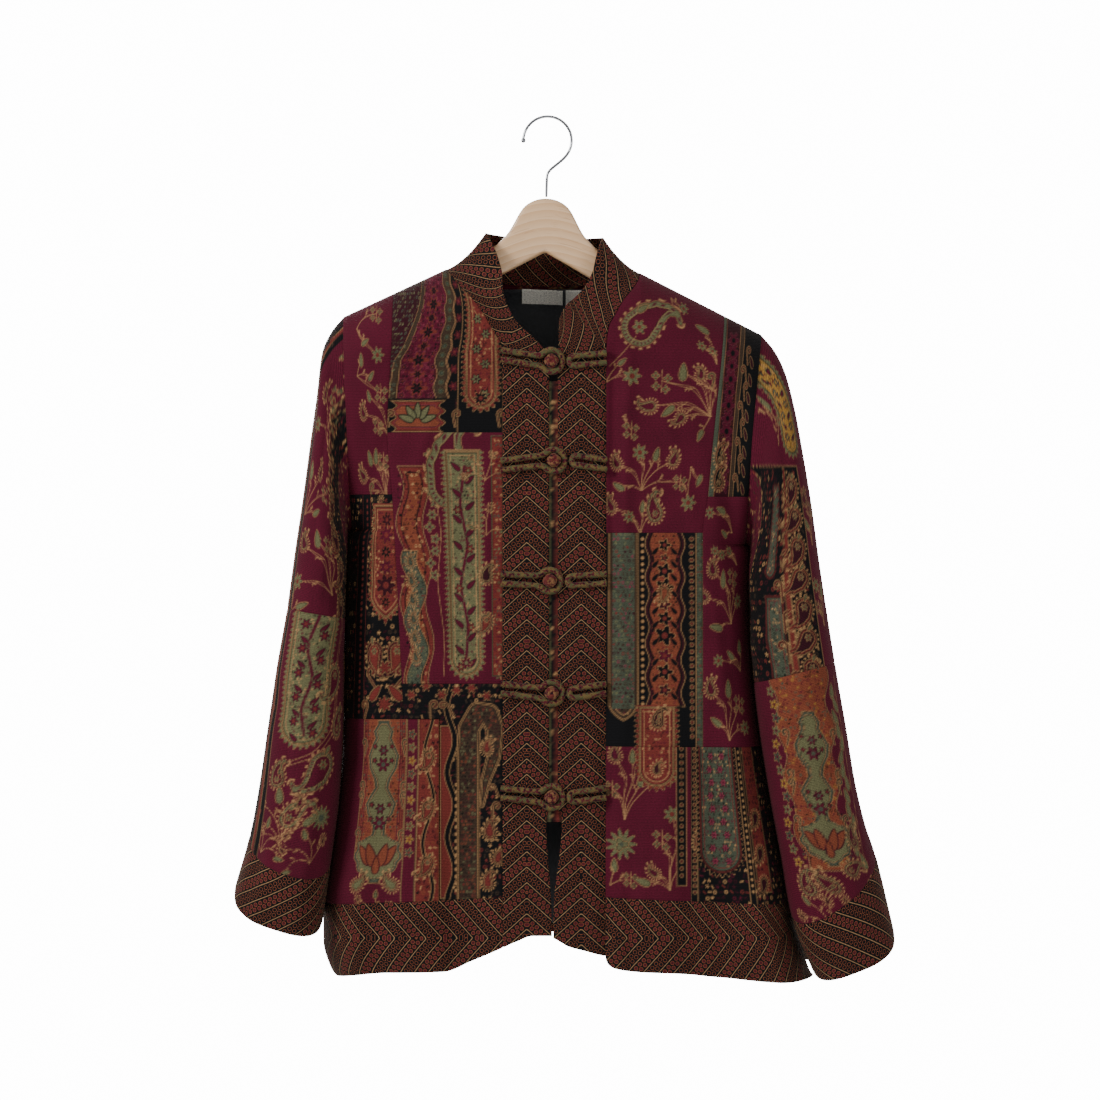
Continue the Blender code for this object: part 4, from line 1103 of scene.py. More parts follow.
def smooth_copy(node, levels):
    """A rounded copy of a solid that takes its place."""
    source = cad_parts[node]
    piece = bpy.data.objects.new(f"{node}_smooth", source.data.copy())
    bpy.context.scene.collection.objects.link(piece)
    bpy.ops.object.select_all(action="DESELECT")
    piece.select_set(True)
    bpy.context.view_layer.objects.active = piece
    bpy.ops.object.mode_set(mode="EDIT")
    bpy.ops.mesh.select_all(action="SELECT")
    bpy.ops.mesh.remove_doubles(threshold=0.00002)
    bpy.ops.mesh.tris_convert_to_quads(face_threshold=math.radians(60), shape_threshold=math.radians(60))
    bpy.ops.object.mode_set(mode="OBJECT")
    rounding = piece.modifiers.new("rounding", "SUBSURF")
    rounding.levels = rounding.render_levels = levels
    bpy.ops.object.modifier_apply(modifier=rounding.name)
    piece.data.materials.clear()
    piece.data.shade_smooth()
    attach(piece, "root")
    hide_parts(node)
    return piece


WOOD = smooth_copy("hanger_wood", 2)
HOOK = smooth_copy("hook", 2)
print("hanger:", len(WOOD.data.polygons), "faces, hook:", len(HOOK.data.polygons), "faces")

# %% [markdown]
# ## Painting the jacquard
#
# A jacquard loom draws with a few yarn colours on a dark ground: each figure is a flat fill with a
# pale outline. The same is done here with distance fields. A figure is a function that is negative
# inside its shape, so a fill, its outline and its fringe all come from one field.

# %% Yarns and figures


def linear(code):
    """An sRGB hex colour as linear red, green and blue."""
    value = np.array([int(code[i : i + 2], 16) for i in (1, 3, 5)]) / 255
    return np.where(value <= 0.04045, value / 12.92, ((value + 0.055) / 1.055) ** 2.4)


YARN = {
    "burgundy": linear("#470b1e"),
    "wine": linear("#2b0812"),
    "black": linear("#070709"),
    "rust": linear("#5e2420"),
    "brick": linear("#6a3524"),
    "olive": linear("#57553a"),
    "moss": linear("#3b4033"),
    "brown": linear("#33261c"),
    "tan": linear("#8f6c48"),
    "gold": linear("#86622c"),
    "pink": linear("#6c2a38"),
}


def put(art, near, distance, yarn):
    """Cover what lies inside a shape with a yarn."""
    cover = np.clip(0.5 - distance / FINE, 0, 1)[:, None]
    art.ink[near] += (YARN[yarn] - art.ink[near]) * cover


def figure(art, near, distance, fill, line="tan", width=0.6):
    """A filled shape with a pale outline, and a dark line between the two."""
    put(art, near, distance - 0.7 * width, line)
    put(art, near, distance, "black")
    put(art, near, distance + 0.7, fill)


def local(art, x, z, size, angle=0.0, reach=1.6):
    """The points near a place, in the figure's own units, with its V axis turned by an angle."""
    near = np.nonzero((np.abs(art.x - x) < reach * size) & (np.abs(art.z - z) < reach * size))[0]
    dx, dz = art.x[near] - x, art.z[near] - z
    turn = math.radians(angle)
    u = (dx * math.cos(turn) + dz * math.sin(turn)) / size
    v = (dz * math.cos(turn) - dx * math.sin(turn)) / size
    return near, u, v


def along_path(u, v, path, radii):
    """Distance from a stroke whose width varies along a path."""
    path, radii = np.array(path, float), np.array(radii, float)
    best = np.full(u.shape, 9.0)
    for (a, b), (ra, rb) in zip(zip(path, path[1:]), zip(radii, radii[1:])):
        step = b - a
        t = np.clip(((u - a[0]) * step[0] + (v - a[1]) * step[1]) / (step @ step), 0, 1)
        best = np.minimum(
            best, np.hypot(u - a[0] - t * step[0], v - a[1] - t * step[1]) - ra - (rb - ra) * t
        )
    return best


BOTEH = [(0, 0), (0.02, 0.3), (0.1, 0.6), (0.26, 0.86), (0.5, 0.98), (0.68, 0.84)]
BOTEH_WIDTH = [0.42, 0.38, 0.27, 0.15, 0.08, 0.05]


def boteh(art, x, z, size, angle=0.0, outer="olive", inner="burgundy", line="tan", flip=1):
    """A paisley drop: a bent cone with a fringe, a border with a ladder in it, and a flower."""
    near, u, v = local(art, x, z, size, angle, 1.7)
    shape = along_path(u * flip, v, BOTEH, BOTEH_WIDTH) * size
    around = np.arctan2(v, u)
    put(art, near, np.maximum(np.abs(shape - 2.3) - 0.9, 0.4 - 1.4 * np.cos(around * 16)), line)
    figure(art, near, shape, outer, line)
    figure(art, near, shape + size * 0.13, inner, line, 0.7)
    ladder = np.abs(shape + size * 0.065) - size * 0.03
    put(art, near, np.maximum(ladder, 0.6 - 1.4 * np.cos(around * 26)), inner)
    if size > 13:
        flower(art, x, z + 0.02 * size, size * 0.16, "olive", line)
        leaf(art, x + flip * 0.12 * size, z + 0.45 * size, size * 0.16, angle - 15 * flip, "olive", line)


def leaf(art, x, z, size, angle=0.0, fill="olive", line="tan"):
    near, u, v = local(art, x, z, size, angle, 1.4)
    width = 0.42 * np.sqrt(np.clip(1 - v**2, 0, 1)) * (1 - 0.35 * v)
    shape = np.maximum(np.abs(u) - width, np.abs(v) - 1) * size
    figure(art, near, shape, fill, line, 0.8)


def flower(art, x, z, size, fill="olive", line="tan", petals=6, heart="rust"):
    near, u, v = local(art, x, z, size, 0, 1.8)
    radius = np.hypot(u, v)
    shape = (radius - 0.78 - 0.24 * np.cos(petals * np.arctan2(v, u))) * size
    figure(art, near, shape, fill, line, 0.8)
    put(art, near, (radius - 0.3) * size, heart)


def curl(art, x, z, size, angle=0.0, yarn="rust", line="tan", flip=1):
    """A tendril that rolls up at its end."""
    near, u, v = local(art, x, z, size, angle, 1.5)
    turns = np.linspace(0, 1.5 * math.pi, 9)
    path = [(0, -1)]
    for angle_in, r in zip(turns, np.linspace(1, 0.3, 9)):
        path.append((0.45 - 0.45 * r * math.cos(angle_in), 0.3 + 0.5 * r * math.sin(angle_in)))
    shape = along_path(u * flip, v, path, np.linspace(0.07, 0.12, len(path))) * size
    figure(art, near, shape, yarn, line, 0.7)


def stem(art, points, yarn="tan", width=0.2):
    """A thin line through a few points."""
    points = resampled([(px, 0.0, pz) for px, pz in points], 4.0)[:, (0, 2)]
    low, high = points.min(axis=0) - 3, points.max(axis=0) + 3
    near = np.nonzero((art.x > low[0]) & (art.x < high[0]) & (art.z > low[1]) & (art.z < high[1]))[0]
    shape = along_path(art.x[near], art.z[near], points, [0.0] * len(points))
    put(art, near, shape - width, yarn)


def cluster(art, x, z, size, fill="olive", line="tan"):
    """Four small square flowers on one stalk."""
    stem(art, [(x, z + size), (x + 0.1 * size, z), (x, z - size)], line)
    for dx, dz in ((-0.55, 0.5), (0.55, 0.25), (-0.5, -0.45), (0.4, -0.75)):
        flower(art, x + dx * size, z + dz * size, size * 0.36, fill, line, 4)


def sprig(art, x, z, size, angle=0.0, line="tan"):
    """A bare twig with short side shoots."""
    turn = math.radians(angle)
    up, across = (-math.sin(turn), math.cos(turn)), (math.cos(turn), math.sin(turn))
    stem(art, [(x, z), (x + up[0] * size, z + up[1] * size)], line)
    for share, way in ((0.3, 1), (0.45, -1), (0.65, 1), (0.8, -1)):
        px, pz = x + up[0] * size * share, z + up[1] * size * share
        tip = (px + (up[0] + way * across[0]) * size * 0.18, pz + (up[1] + way * across[1]) * size * 0.18)
        stem(art, [(px, pz), tip], line)


def branch(art, x, z, *heads):
    """A flowering branch from a root, each head given by its kind, place, size and angle."""
    for kind, head_x, head_z, size, angle in heads:
        run, rise = head_x - x, head_z - z
        middle = (x + 0.42 * run + 0.1 * rise, z + 0.62 * rise + 0.12 * abs(run))
        near_root = (x + 0.15 * run, z + 0.3 * rise + 0.05 * abs(run))
        for offset in (-1.2, 1.2):
            points = [
                (x + offset * 0.4, z), near_root, (middle[0] + offset, middle[1] + offset),
                (head_x, head_z)
            ]
            stem(art, points, "tan", 0.1)
        if kind == "boteh":
            boteh(art, head_x, head_z, size, angle, "olive", "burgundy", "tan", 1 if angle >= 0 else -1)
        elif kind == "flower":
            flower(art, head_x, head_z, size, "olive", "tan", 7)
        elif kind == "leaf":
            leaf(art, head_x, head_z, size, angle)
        elif kind == "cluster":
            cluster(art, head_x, head_z, size)
        elif kind == "curl":
            curl(art, head_x, head_z, size, angle, "olive", "tan", 1 if angle >= 0 else -1)
        sprig(art, middle[0], middle[1], 0.9 * size, math.degrees(math.atan2(-run, abs(rise))) + 40)


def spray(art, x, z, height, angle=0.0, bend=0.3, heads=5, fill="olive", line="tan"):
    """A flowering branch: curved stems that fan out of a root, each with a head and small leaves."""
    for number in range(heads):
        spread = (number / (heads - 1) - 0.5) * 2 if heads > 1 else 0.0
        length = height * (1 - 0.3 * abs(spread))
        lean = math.radians(angle) - spread * 1.25
        points = []
        for t in np.linspace(0, 1, 6):
            way = lean * (0.35 + 0.65 * t) + bend * t * t
            points.append((x - math.sin(way) * length * t, z + math.cos(way) * length * t))
        stem(art, points, line)
        top_x, top_z = points[-1]
        way = math.degrees(lean + bend)
        kind = (number * 2 + int(abs(x))) % 4
        if kind == 0:
            boteh(
                art, top_x, top_z, height * 0.15, way, fill, "burgundy", line,
                flip=-1 if spread > 0 else 1
            )
        elif kind == 1:
            flower(art, top_x, top_z, height * 0.11, fill, line, 7)
        elif kind == 2:
            leaf(art, top_x, top_z, height * 0.16, way, fill, line)
        else:
            cluster(art, top_x, top_z, height * 0.13, fill, line)
        px, pz = points[3]
        sprig(art, px, pz, height * 0.16, way - 50 * (-1) ** number, line)


def between(art, low, high):
    """Distance outside a strip between two lines of X."""
    return np.maximum(low - art.x, art.x - high)


def strip(art, low, high, yarn, line="tan", width=0.8, top=999.0, foot=-999.0):
    """An upright strip whose edges are numbers or arrays of X."""
    near = np.arange(len(art.x))
    shape = np.maximum(between(art, low, high), np.maximum(foot - art.z, art.z - top))
    figure(art, near, shape, yarn, line, width)


def beads(art, x, top, foot, pitch, size, yarn, line=None):
    for z in np.arange(top, foot, -pitch):
        near, u, v = local(art, x, z, size, 0, 1.6)
        shape = (np.hypot(u, v) - 0.8) * size
        if line:
            figure(art, near, shape, yarn, line, 0.6)
        else:
            put(art, near, shape, yarn)


def tongue(art, x, top, foot, half, fill, line="tan", point=0.0, fringe="rust", fringe_line="tan"):
    """A long panel with a rounded or pointed foot, a double outline and a fringe of small loops."""
    reach = half + 14
    near = np.nonzero((np.abs(art.x - x) < reach) & (art.z < top + 3) & (art.z > foot - reach))[0]
    across, z = np.abs(art.x[near] - x), art.z[near]
    below = np.clip(foot + half - z, 0, None)
    round_end = np.hypot(across, below) - half
    sharp_end = (across + below * 0.9 - half) * 0.75
    shape = np.where(z < foot + half, round_end * (1 - point) + sharp_end * point, across - half)
    shape = np.maximum(shape, z - top)
    round_foot, up_side = np.arctan2(across, below + 0.01) * half, half * math.pi / 2 + z - foot - half
    travel = np.where(z < foot + half, round_foot, up_side)
    loops = 4.2 + 1.9 * np.cos(travel * 2 * math.pi / 5.2)
    if fringe:
        figure(art, near, shape - loops, fringe, fringe_line, 0.7)
    figure(art, near, shape - 1.3, "black", line, 0.7)
    figure(art, near, shape, fill, line, 0.8)
    inner = near[shape < -1.8]
    inside = np.zeros(len(art.x), bool)
    inside[inner] = True
    marked(
        art, inside, ("black", "burgundy", fringe_line), 1.5, 0.55, int(abs(x)), x - half, x + half, foot,
        top
    )
    put(art, near, np.abs(shape + 3.2) - 0.35, line)


def speckle(art, yarns, size, share, seed, low=-999, high=999, foot=-999, top=999):
    """Small woven marks on a slightly irregular lattice, in turn in each yarn."""
    rng = np.random.default_rng(seed)
    x_low, x_high = max(low, art.x.min()), min(high, art.x.max())
    z_low, z_high = max(foot, art.z.min()), min(top, art.z.max())
    pitch = size * 2.3
    for row, z in enumerate(np.arange(z_low + size, z_high - size / 2, pitch)):
        for column, x in enumerate(
            np.arange(x_low + size + (row % 2) * pitch / 2, x_high - size / 2, pitch)
        ):
            if rng.random() > share:
                continue
            px, pz = x + rng.uniform(-0.25, 0.25) * size, z + rng.uniform(-0.25, 0.25) * size
            yarn = yarns[rng.integers(len(yarns))]
            near, u, v = local(art, px, pz, size, rng.uniform(0, 360), 1.2)
            kind = rng.integers(3)
            if kind == 0:
                distance = np.abs(np.hypot(u, v) - 0.6) - 0.2
            elif kind == 1:
                distance = np.maximum(np.abs(u) - 0.28, np.abs(v) - 0.8)
            else:
                distance = np.hypot(u, v) - 0.6 - 0.3 * np.cos(5 * np.arctan2(v, u))
            put(art, near, distance * size, yarn)


def marked(art, inside, *marks):
    """Woven marks kept to the places inside a shape."""
    before = art.ink.copy()
    speckle(art, *marks)
    art.ink[~inside] = before[~inside]


def canvas(piece, ground, shift=0.0):
    """Start painting a piece: its own millimetres across, its height, and a ground yarn."""
    mesh = piece.data
    lay = np.zeros(len(mesh.vertices) * 2, dtype=np.float32)
    mesh.attributes["lay"].data.foreach_get("vector", lay)
    place = np.zeros(len(mesh.vertices) * 3, dtype=np.float32)
    mesh.vertices.foreach_get("co", place)
    x, z = lay[::2].astype(float) + shift, place[2::3].astype(float) / MM
    return SimpleNamespace(piece=piece, x=x, z=z, ink=np.tile(YARN[ground], (len(x), 1)))


def finish_art(art):
    colours = np.concatenate([np.clip(art.ink, 0, 1), np.ones((len(art.ink), 1))], axis=1)
    attribute_to(art.piece.data, "ink", "FLOAT_COLOR", "color", colours)

# %% [markdown]
# ## Composing each patch
#
# Each patch was cut from another part of a patterned cloth, so each has its own drawing. The ones
# on a burgundy ground carry sprays and paisleys, set out in a table. The ones on black or rust are
# upright strips, tongues and vases, with small woven marks between them.

# %% Sprays on burgundy

BRANCHES = {
    # root x and z, then each head's kind, x, z, size and angle
    "front_l_shoulder_panel": (
        (
            -203, -214, ("cluster", -174, -199, 9, 0), ("flower", -172, -241, 8, 0),
            ("leaf", -190, -228, 6, -60)
        ),
        (
            -205, -262, ("leaf", -197, -246, 7, 0), ("cluster", -168, -279, 9, 0),
            ("leaf", -182, -262, 6, -40)
        ),
        (
            -158, -322, ("cluster", -172, -312, 8, 0), ("boteh", -196, -300, 10, 30),
            ("leaf", -186, -282, 6, 20)
        ),
        (-161, -384, ("leaf", -186, -344, 8, 20), ("leaf", -176, -342, 8, 0), ("boteh", -198, -362, 11, 60),
         ("cluster", -165, -346, 8, 0), ("curl", -186, -376, 9, 20)),
    ),
    "front_r_chest_panel": (
        (166, -302, ("cluster", 114, -267, 11, 0), ("leaf", 135, -258, 9, 0), ("boteh", 153, -262, 9, -5),
         ("curl", 166, -266, 9, -10), ("boteh", 104, -292, 13, 100), ("leaf", 122, -297, 8, 130),
         ("boteh", 136, -303, 10, 150), ("leaf", 157, -321, 6, 160)),
        (97, -376, ("flower", 94, -338, 8, 0), ("boteh", 130, -347, 11, -30), ("cluster", 139, -368, 8, 0),
         ("leaf", 112, -340, 7, -15), ("boteh", 70, -350, 10, 35), ("leaf", 72, -372, 7, 60)),
        (98, -420, ("boteh", 64, -393, 11, 40), ("flower", 84, -402, 6, 0), ("leaf", 114, -391, 8, -20),
         ("leaf", 99, -392, 6, 0)),
        (168, -250, ("leaf", 165, -215, 8, 60), ("flower", 157, -232, 5, 0), ("flower", 167, -237, 5, 0)),
        (58, -268, ("flower", 84, -262, 9, 0), ("leaf", 74, -248, 5, -50)),
        (133, -183, ("flower", 148, -194, 6, 0), ("leaf", 140, -203, 4, 210)),
        (78, -300, ("cluster", 84, -316, 9, 0),),
        (150, -352, ("flower", 150, -388, 8, 0), ("leaf", 160, -366, 6, 160)),
    ),
    "front_r_side_panel": (
        (193, -508, ("boteh", 166, -456, 11, 15), ("leaf", 180, -464, 9, 0), ("boteh", 156, -482, 10, 60),
         ("cluster", 196, -462, 9, 0), ("flower", 206, -486, 7, 0), ("leaf", 170, -512, 8, 80)),
        (202, -418, ("leaf", 180, -396, 8, 70), ("flower", 163, -398, 6, 0), ("leaf", 186, -419, 6, 60)),
        (204, -450, ("flower", 169, -436, 5, 0), ("flower", 178, -440, 5, 0), ("flower", 191, -436, 5, 0)),
        (182, -624, ("boteh", 163, -575, 12, 20), ("leaf", 184, -573, 9, 0), ("cluster", 200, -588, 9, 0),
         ("leaf", 168, -606, 7, 50), ("flower", 206, -612, 7, 0)),
        (206, -556, ("leaf", 190, -540, 7, 50), ("flower", 172, -545, 6, 0), ("leaf", 206, -532, 7, 0)),
    ),
    "front_r_floral_panel": (
        (76, -702, ("boteh", 67, -640, 11, 15), ("leaf", 94, -662, 9, -20), ("flower", 125, -657, 9, 0),
         ("cluster", 64, -672, 8, 0), ("leaf", 84, -640, 7, 0)),
        (121, -772, ("flower", 123, -697, 8, 0), ("cluster", 113, -722, 10, 0), ("boteh", 106, -756, 9, 60),
         ("leaf", 94, -764, 8, 70), ("leaf", 134, -740, 6, -30)),
        (62, -768, ("leaf", 66, -748, 7, 0), ("cluster", 82, -762, 8, 0)),
    ),
    "sleeve_l_upper_front": (
        (
            18, -330, ("boteh", -10, -282, 12, 20), ("cluster", 12, -280, 9, 0),
            ("flower", -24, -310, 8, 0), ("leaf", 22, -296, 7, -20)
        ),
        (
            -30, -400, ("leaf", -26, -356, 9, 0), ("boteh", -4, -360, 12, -30),
            ("cluster", 12, -380, 9, 0), ("leaf", -8, -398, 7, -70)
        ),
        (
            16, -480, ("boteh", -22, -430, 12, 30), ("leaf", -4, -424, 9, 10),
            ("cluster", 14, -430, 9, 0), ("flower", -26, -466, 8, 0)
        ),
        (6, -262, ("flower", -12, -240, 7, 0), ("leaf", 8, -230, 8, -10), ("leaf", 20, -244, 6, -40)),
        (-32, -496, ("leaf", -16, -490, 7, -70), ("leaf", -34, -474, 6, 0)),
    ),
}


def flowered(name, shift=0.0):
    """A patch of branches on burgundy."""
    art = canvas(PATCHES[name], "burgundy", shift)
    for root_x, root_z, *heads in BRANCHES[name]:
        branch(art, root_x, root_z, *heads)
    return art


# %% [markdown]
# The other patches were cut from borders. Each function below draws one of them, from its ground up
# to its flowers, with places in millimetres on the jacket: strips first, then tongues and vases, and
# the leaves and flowers in them last, as a later figure covers an earlier one.

# %% Vases, tongues and columns


def chest_art():
    art = flowered("front_r_chest_panel")
    boteh(art, 92, -214, 44, -45)
    stem(art, [(88, -222), (74, -240), (61, -252)])
    boteh(art, 114, -399, 20, 30)
    finish_art(art)


def floral_art():
    art = flowered("front_r_floral_panel")
    flower(art, 73, -727, 15, "olive", "tan", 11, "moss")
    flower(art, 73, -727, 7, "olive", "tan", 3, "moss")
    tongue(art, 108, -625, -668, 16, "rust")
    boteh(art, 108, -654, 9, 0, "black", "wine")
    strip(art, 128, 137, "black", foot=-768)
    beads(art, 132.5, -632, -765, 7, 2.0, "rust", "tan")
    finish_art(art)


def column_art():
    art = canvas(PATCHES["front_l_column_panel"], "wine")
    left_x = left.column.x(art.z)
    strip(art, left_x + 7, left_x + 44, "burgundy", "rust")
    speckle(art, ("black", "rust", "wine", "pink"), 1.7, 0.8, 83, low=-152, high=-114)
    strip(art, left_x, left_x + 6.5, "brown")
    speckle(art, ("olive", "moss", "brown"), 2.0, 0.8, 3, high=-152)
    for number, z in enumerate(range(-176, -290, -14)):
        wide = 9 + 4 * (number % 2)
        figure_near, u, v = local(art, -132, z, wide)
        figure(
            art, figure_near, (np.hypot(u, v * 1.4) - 0.7 - 0.25 * np.cos(6 * np.arctan2(v, u))) * wide,
            "rust", "pink", 0.8
        )
        flower(art, -132, z, wide * 0.45, "black", "rust", 6, "wine")
        for side_x in (-147, -117):
            flower(art, side_x, z + 7, 3.0, "wine", "pink", 5)
    wave = 1.6 * np.cos(art.z * 2 * math.pi / 26)
    strip(art, -113 + wave, -102 + wave, "brown")
    beads(art, -107.5, -160, -300, 9, 2.8, "moss", "olive")
    strip(art, -100 + wave, -90, "black")
    for z in range(-170, -300, -17):
        flower(art, -95, z, 4.2, "burgundy", "rust", 6)
    strip(art, -90, -45, "black")
    tongue(art, -67, -158, -292, 14, "rust")
    for z in range(-190, -285, -15):
        flower(art, -72 + 9 * ((z // 15) % 2), z, 5.0, "olive", "black", 6, "wine")
    flower(art, -67, -284, 7, "black", "tan", 8, "rust")
    near = np.arange(len(art.x))
    palmette = np.maximum(np.abs(art.x + 130) - 24 - 3 * np.cos(art.z * 0.55), np.abs(art.z + 302) - 15)
    put(art, near, np.maximum(art.z + 284, art.x + 92), "black")
    figure(art, near, palmette, "rust", "tan", 1.0)
    figure(art, near, palmette + 4, "brick", "pink", 0.7)
    for angle in (-70, -35, 0, 35, 70):
        leaf(
            art, -130 - 12 * math.sin(math.radians(angle)), -308 + 12 * math.cos(math.radians(angle)), 8,
            angle, "olive", "black"
        )
    for x in (-160, -94, -50):
        curl(art, x, -303, 9, 10, "rust", "tan", 1)
    finish_art(art)


def paisley_art():
    art = canvas(PATCHES["front_l_paisley_panel"], "burgundy")
    wave = 5 * np.sin(art.z * 2 * math.pi / 78)
    strip(art, -152 + wave, -126 + 0.8 * wave, "rust", top=-352)
    strip(art, -147 + wave, -132 + 0.8 * wave, "brick", "black", top=-358)
    inside = (art.x < -128 + 0.8 * wave) & (art.z < -356)
    marked(art, inside, ("black", "burgundy", "wine", "tan"), 1.9, 0.7, 71, -155, -125)
    wave = 5 * np.sin(art.z * 2 * math.pi / 60 + 1)
    strip(art, -149 + wave, -133 + wave, "moss", top=-436)
    inside = (np.abs(art.x + 141 - wave) < 7) & (art.z < -438)
    marked(art, inside, ("black", "olive", "rust"), 1.5, 0.7, 73, -160, -125)
    for z in range(-448, -560, -19):
        boteh(art, -141 + 3 * math.sin(z), z, 8, 20, "rust", "moss")
    for number, z in enumerate(range(-340, -470, -12)):
        flower(art, -119 + 3.5 * math.sin(number * 1.9), z, 5.2, "olive", "tan", 4 + number % 3, "burgundy")
    stem(art, [(-112, -330), (-116, -370), (-110, -420), (-116, -468), (-110, -520), (-112, -560)])
    boteh(art, -99, -370, 56, 12)
    tongue(art, -86, -338, -558, 15.5, "olive", fringe="olive")
    stem(
        art, [(-84, -352), (-90, -390), (-82, -430), (-91, -470), (-83, -510), (-86, -545)], "burgundy",
        1.5
    )
    for number, z in enumerate(range(-352, -552, -13)):
        way = 1 if number % 2 else -1
        leaf(art, -86 + 7 * way, z, 6.5, -way * 48, "burgundy", "olive")
        if number % 3 == 0:
            flower(art, -86 - 6 * way, z - 4, 4.6, "rust", "burgundy", 6, "olive")
    flower(art, -86, -547, 6.5, "burgundy", "tan", 7, "olive")
    strip(art, -56.5, -45, "rust", "olive", top=-322, foot=-560)
    speckle(art, ("olive", "tan", "moss", "burgundy"), 1.8, 0.85, 7, low=-55)
    spray(art, -63, -366, 30, -10, 0.3, 4)
    spray(art, -62, -420, 26, 10, -0.3, 3)
    boteh(art, -63, -462, 13, 0, "olive", "wine")
    boteh(art, -63, -505, 14, 170, "moss", "rust")
    finish_art(art)


def spear_art():
    art = canvas(PATCHES["front_l_spear_panel"], "black")
    speckle(art, ("rust", "wine", "tan", "brown"), 2.6, 0.62, 11, foot=-603, top=-380)
    strip(art, -206, -190, "black", "rust")
    beads(art, -197, -386, -600, 6, 2.0, "rust")
    spray(art, -164, -412, 26, 0, 0.3, 5)
    tongue(art, -163, -392, -500, 17, "rust", "tan", 0.7)
    for z, size, yarn in (
        (-405, 7, "wine"), (-420, 9, "burgundy"), (-437, 6, "black"), (-452, 8, "burgundy"),
        (-470, 11, "wine"), (-487, 5, "black")
    ):
        flower(art, -163, z, size, yarn, "brick", 7, "rust")
    for way in (-1, 1):
        boteh(art, -163 + 13 * way, -536, 24, 178, "wine", "rust", "tan", way)
        curl(art, -163 + 18 * way, -563, 13, -40 * way, "rust", "tan", -way)
        leaf(art, -163 + 11 * way, -577, 10, 42 * way, "rust")
        curl(art, -163 + 22 * way, -594, 11, 20 * way, "brick", "tan", way)
    flower(art, -163, -552, 7, "rust", "tan", 6)
    flower(art, -163, -588, 8, "rust", "tan", 8)
    finish_art(art)


def scroll_art():
    art = canvas(PATCHES["front_l_scroll_panel"], "black")
    speckle(art, ("rust", "wine", "tan", "brown"), 2.3, 0.7, 13)
    wave = 4 * np.sin(art.z * 2 * math.pi / 64)
    strip(art, -108, -103 + wave + 4, "rust", foot=-780, top=-610)
    strip(art, -100 + wave, -95 + wave, "black")
    beads(art, -92, -668, -778, 7, 2.1, "tan")
    near = np.arange(len(art.x))
    crook = [
        (-80, -790), (-80, -640), (-79, -612), (-70, -597), (-59, -598), (-53, -612), (-54, -640),
        (-62, -664), (-66, -688)
    ]
    shape = along_path(art.x, art.z, crook, [9.5, 9.5, 9, 9, 8.5, 7, 5, 3, 0.6])
    figure(art, near, shape - 1.6, "black", "tan", 0.8)
    figure(art, near, shape, "brown", "tan", 0.8)
    marks = canvas(art.piece, "brown")
    speckle(marks, ("rust", "wine", "olive", "brick", "black"), 1.6, 0.95, 17)
    inside = shape < -1.6
    art.ink[inside] = marks.ink[inside]
    for x, z, size, angle in (
        (-61, -633, 10, 5), (-58, -716, 13, 10), (-50, -742, 11, -10), (-60, -766, 12, 8)
    ):
        boteh(art, x, z, size, angle, "wine", "rust")
    for x, z, size, angle, flip in (
        (-55, -692, 9, 0, 1), (-52, -672, 8, 20, -1), (-118, -592, 10, 0, 1), (-100, -590, 9, 30, -1)
    ):
        curl(art, x, z, size, angle, "rust", "tan", flip)
    for x in range(-136, -48, 15):
        flower(art, x, -575 - 5 * math.sin(x), 5.0, "rust", "tan", 6)
    finish_art(art)


def vase_shape(art, x, top, scale=1.0):
    """A vase of two bulbs over a wide palmette, as a distance from its outline."""
    drops = np.array([0, 7, 14, 31, 43, 54, 63, 79, 89, 97, 105, 110, 117, 128, 140, 148, 154]) * scale
    halves = np.array([3, 8, 6, 15, 13, 6, 4, 14, 11, 4, 3, 4, 19, 23, 20, 12, 1]) * scale
    around = np.arctan2(art.x - x, art.z - top + 128 * scale)
    scallops = np.where(art.z < top - 112 * scale, 1.4 * np.cos(11 * around), 0.0)
    return np.maximum(np.abs(art.x - x) - np.interp(top - art.z, drops, halves) - scallops, art.z - top)


def vase_body(art, x, top, scale):
    near = np.arange(len(art.x))
    shape = vase_shape(art, x, top, scale)
    shape = np.maximum(shape, top - 154 * scale - art.z)
    figure(art, near, shape - 3.6 * scale, "moss", "tan", 0.8)
    figure(art, near, shape, "olive", "tan", 0.8)
    for drop, size in ((26, 6), (40, 8), (84, 6), (98, 8)):
        flower(art, x, top - drop * scale, size * scale, "burgundy", "olive", 6, "moss")
        for way in (-1, 1):
            flower(art, x + 10 * way * scale, top - (drop - 4) * scale, 3.4 * scale, "burgundy", "olive", 5)
    for way, angle in ((-1, 38), (1, -38), (-0.5, 18), (0.5, -18)):
        leaf(art, x + 13 * way * scale, top - 130 * scale, 12 * scale, angle, "brick", "burgundy")
    leaf(art, x, top - 140 * scale, 9 * scale, 0, "brick", "burgundy")
    for way in (-1, 1):
        for drop in (22, 64, 74, 112):
            curl(art, x + 23 * way * scale, top - drop * scale, 9 * scale, 15 * way, "moss", "tan", way)


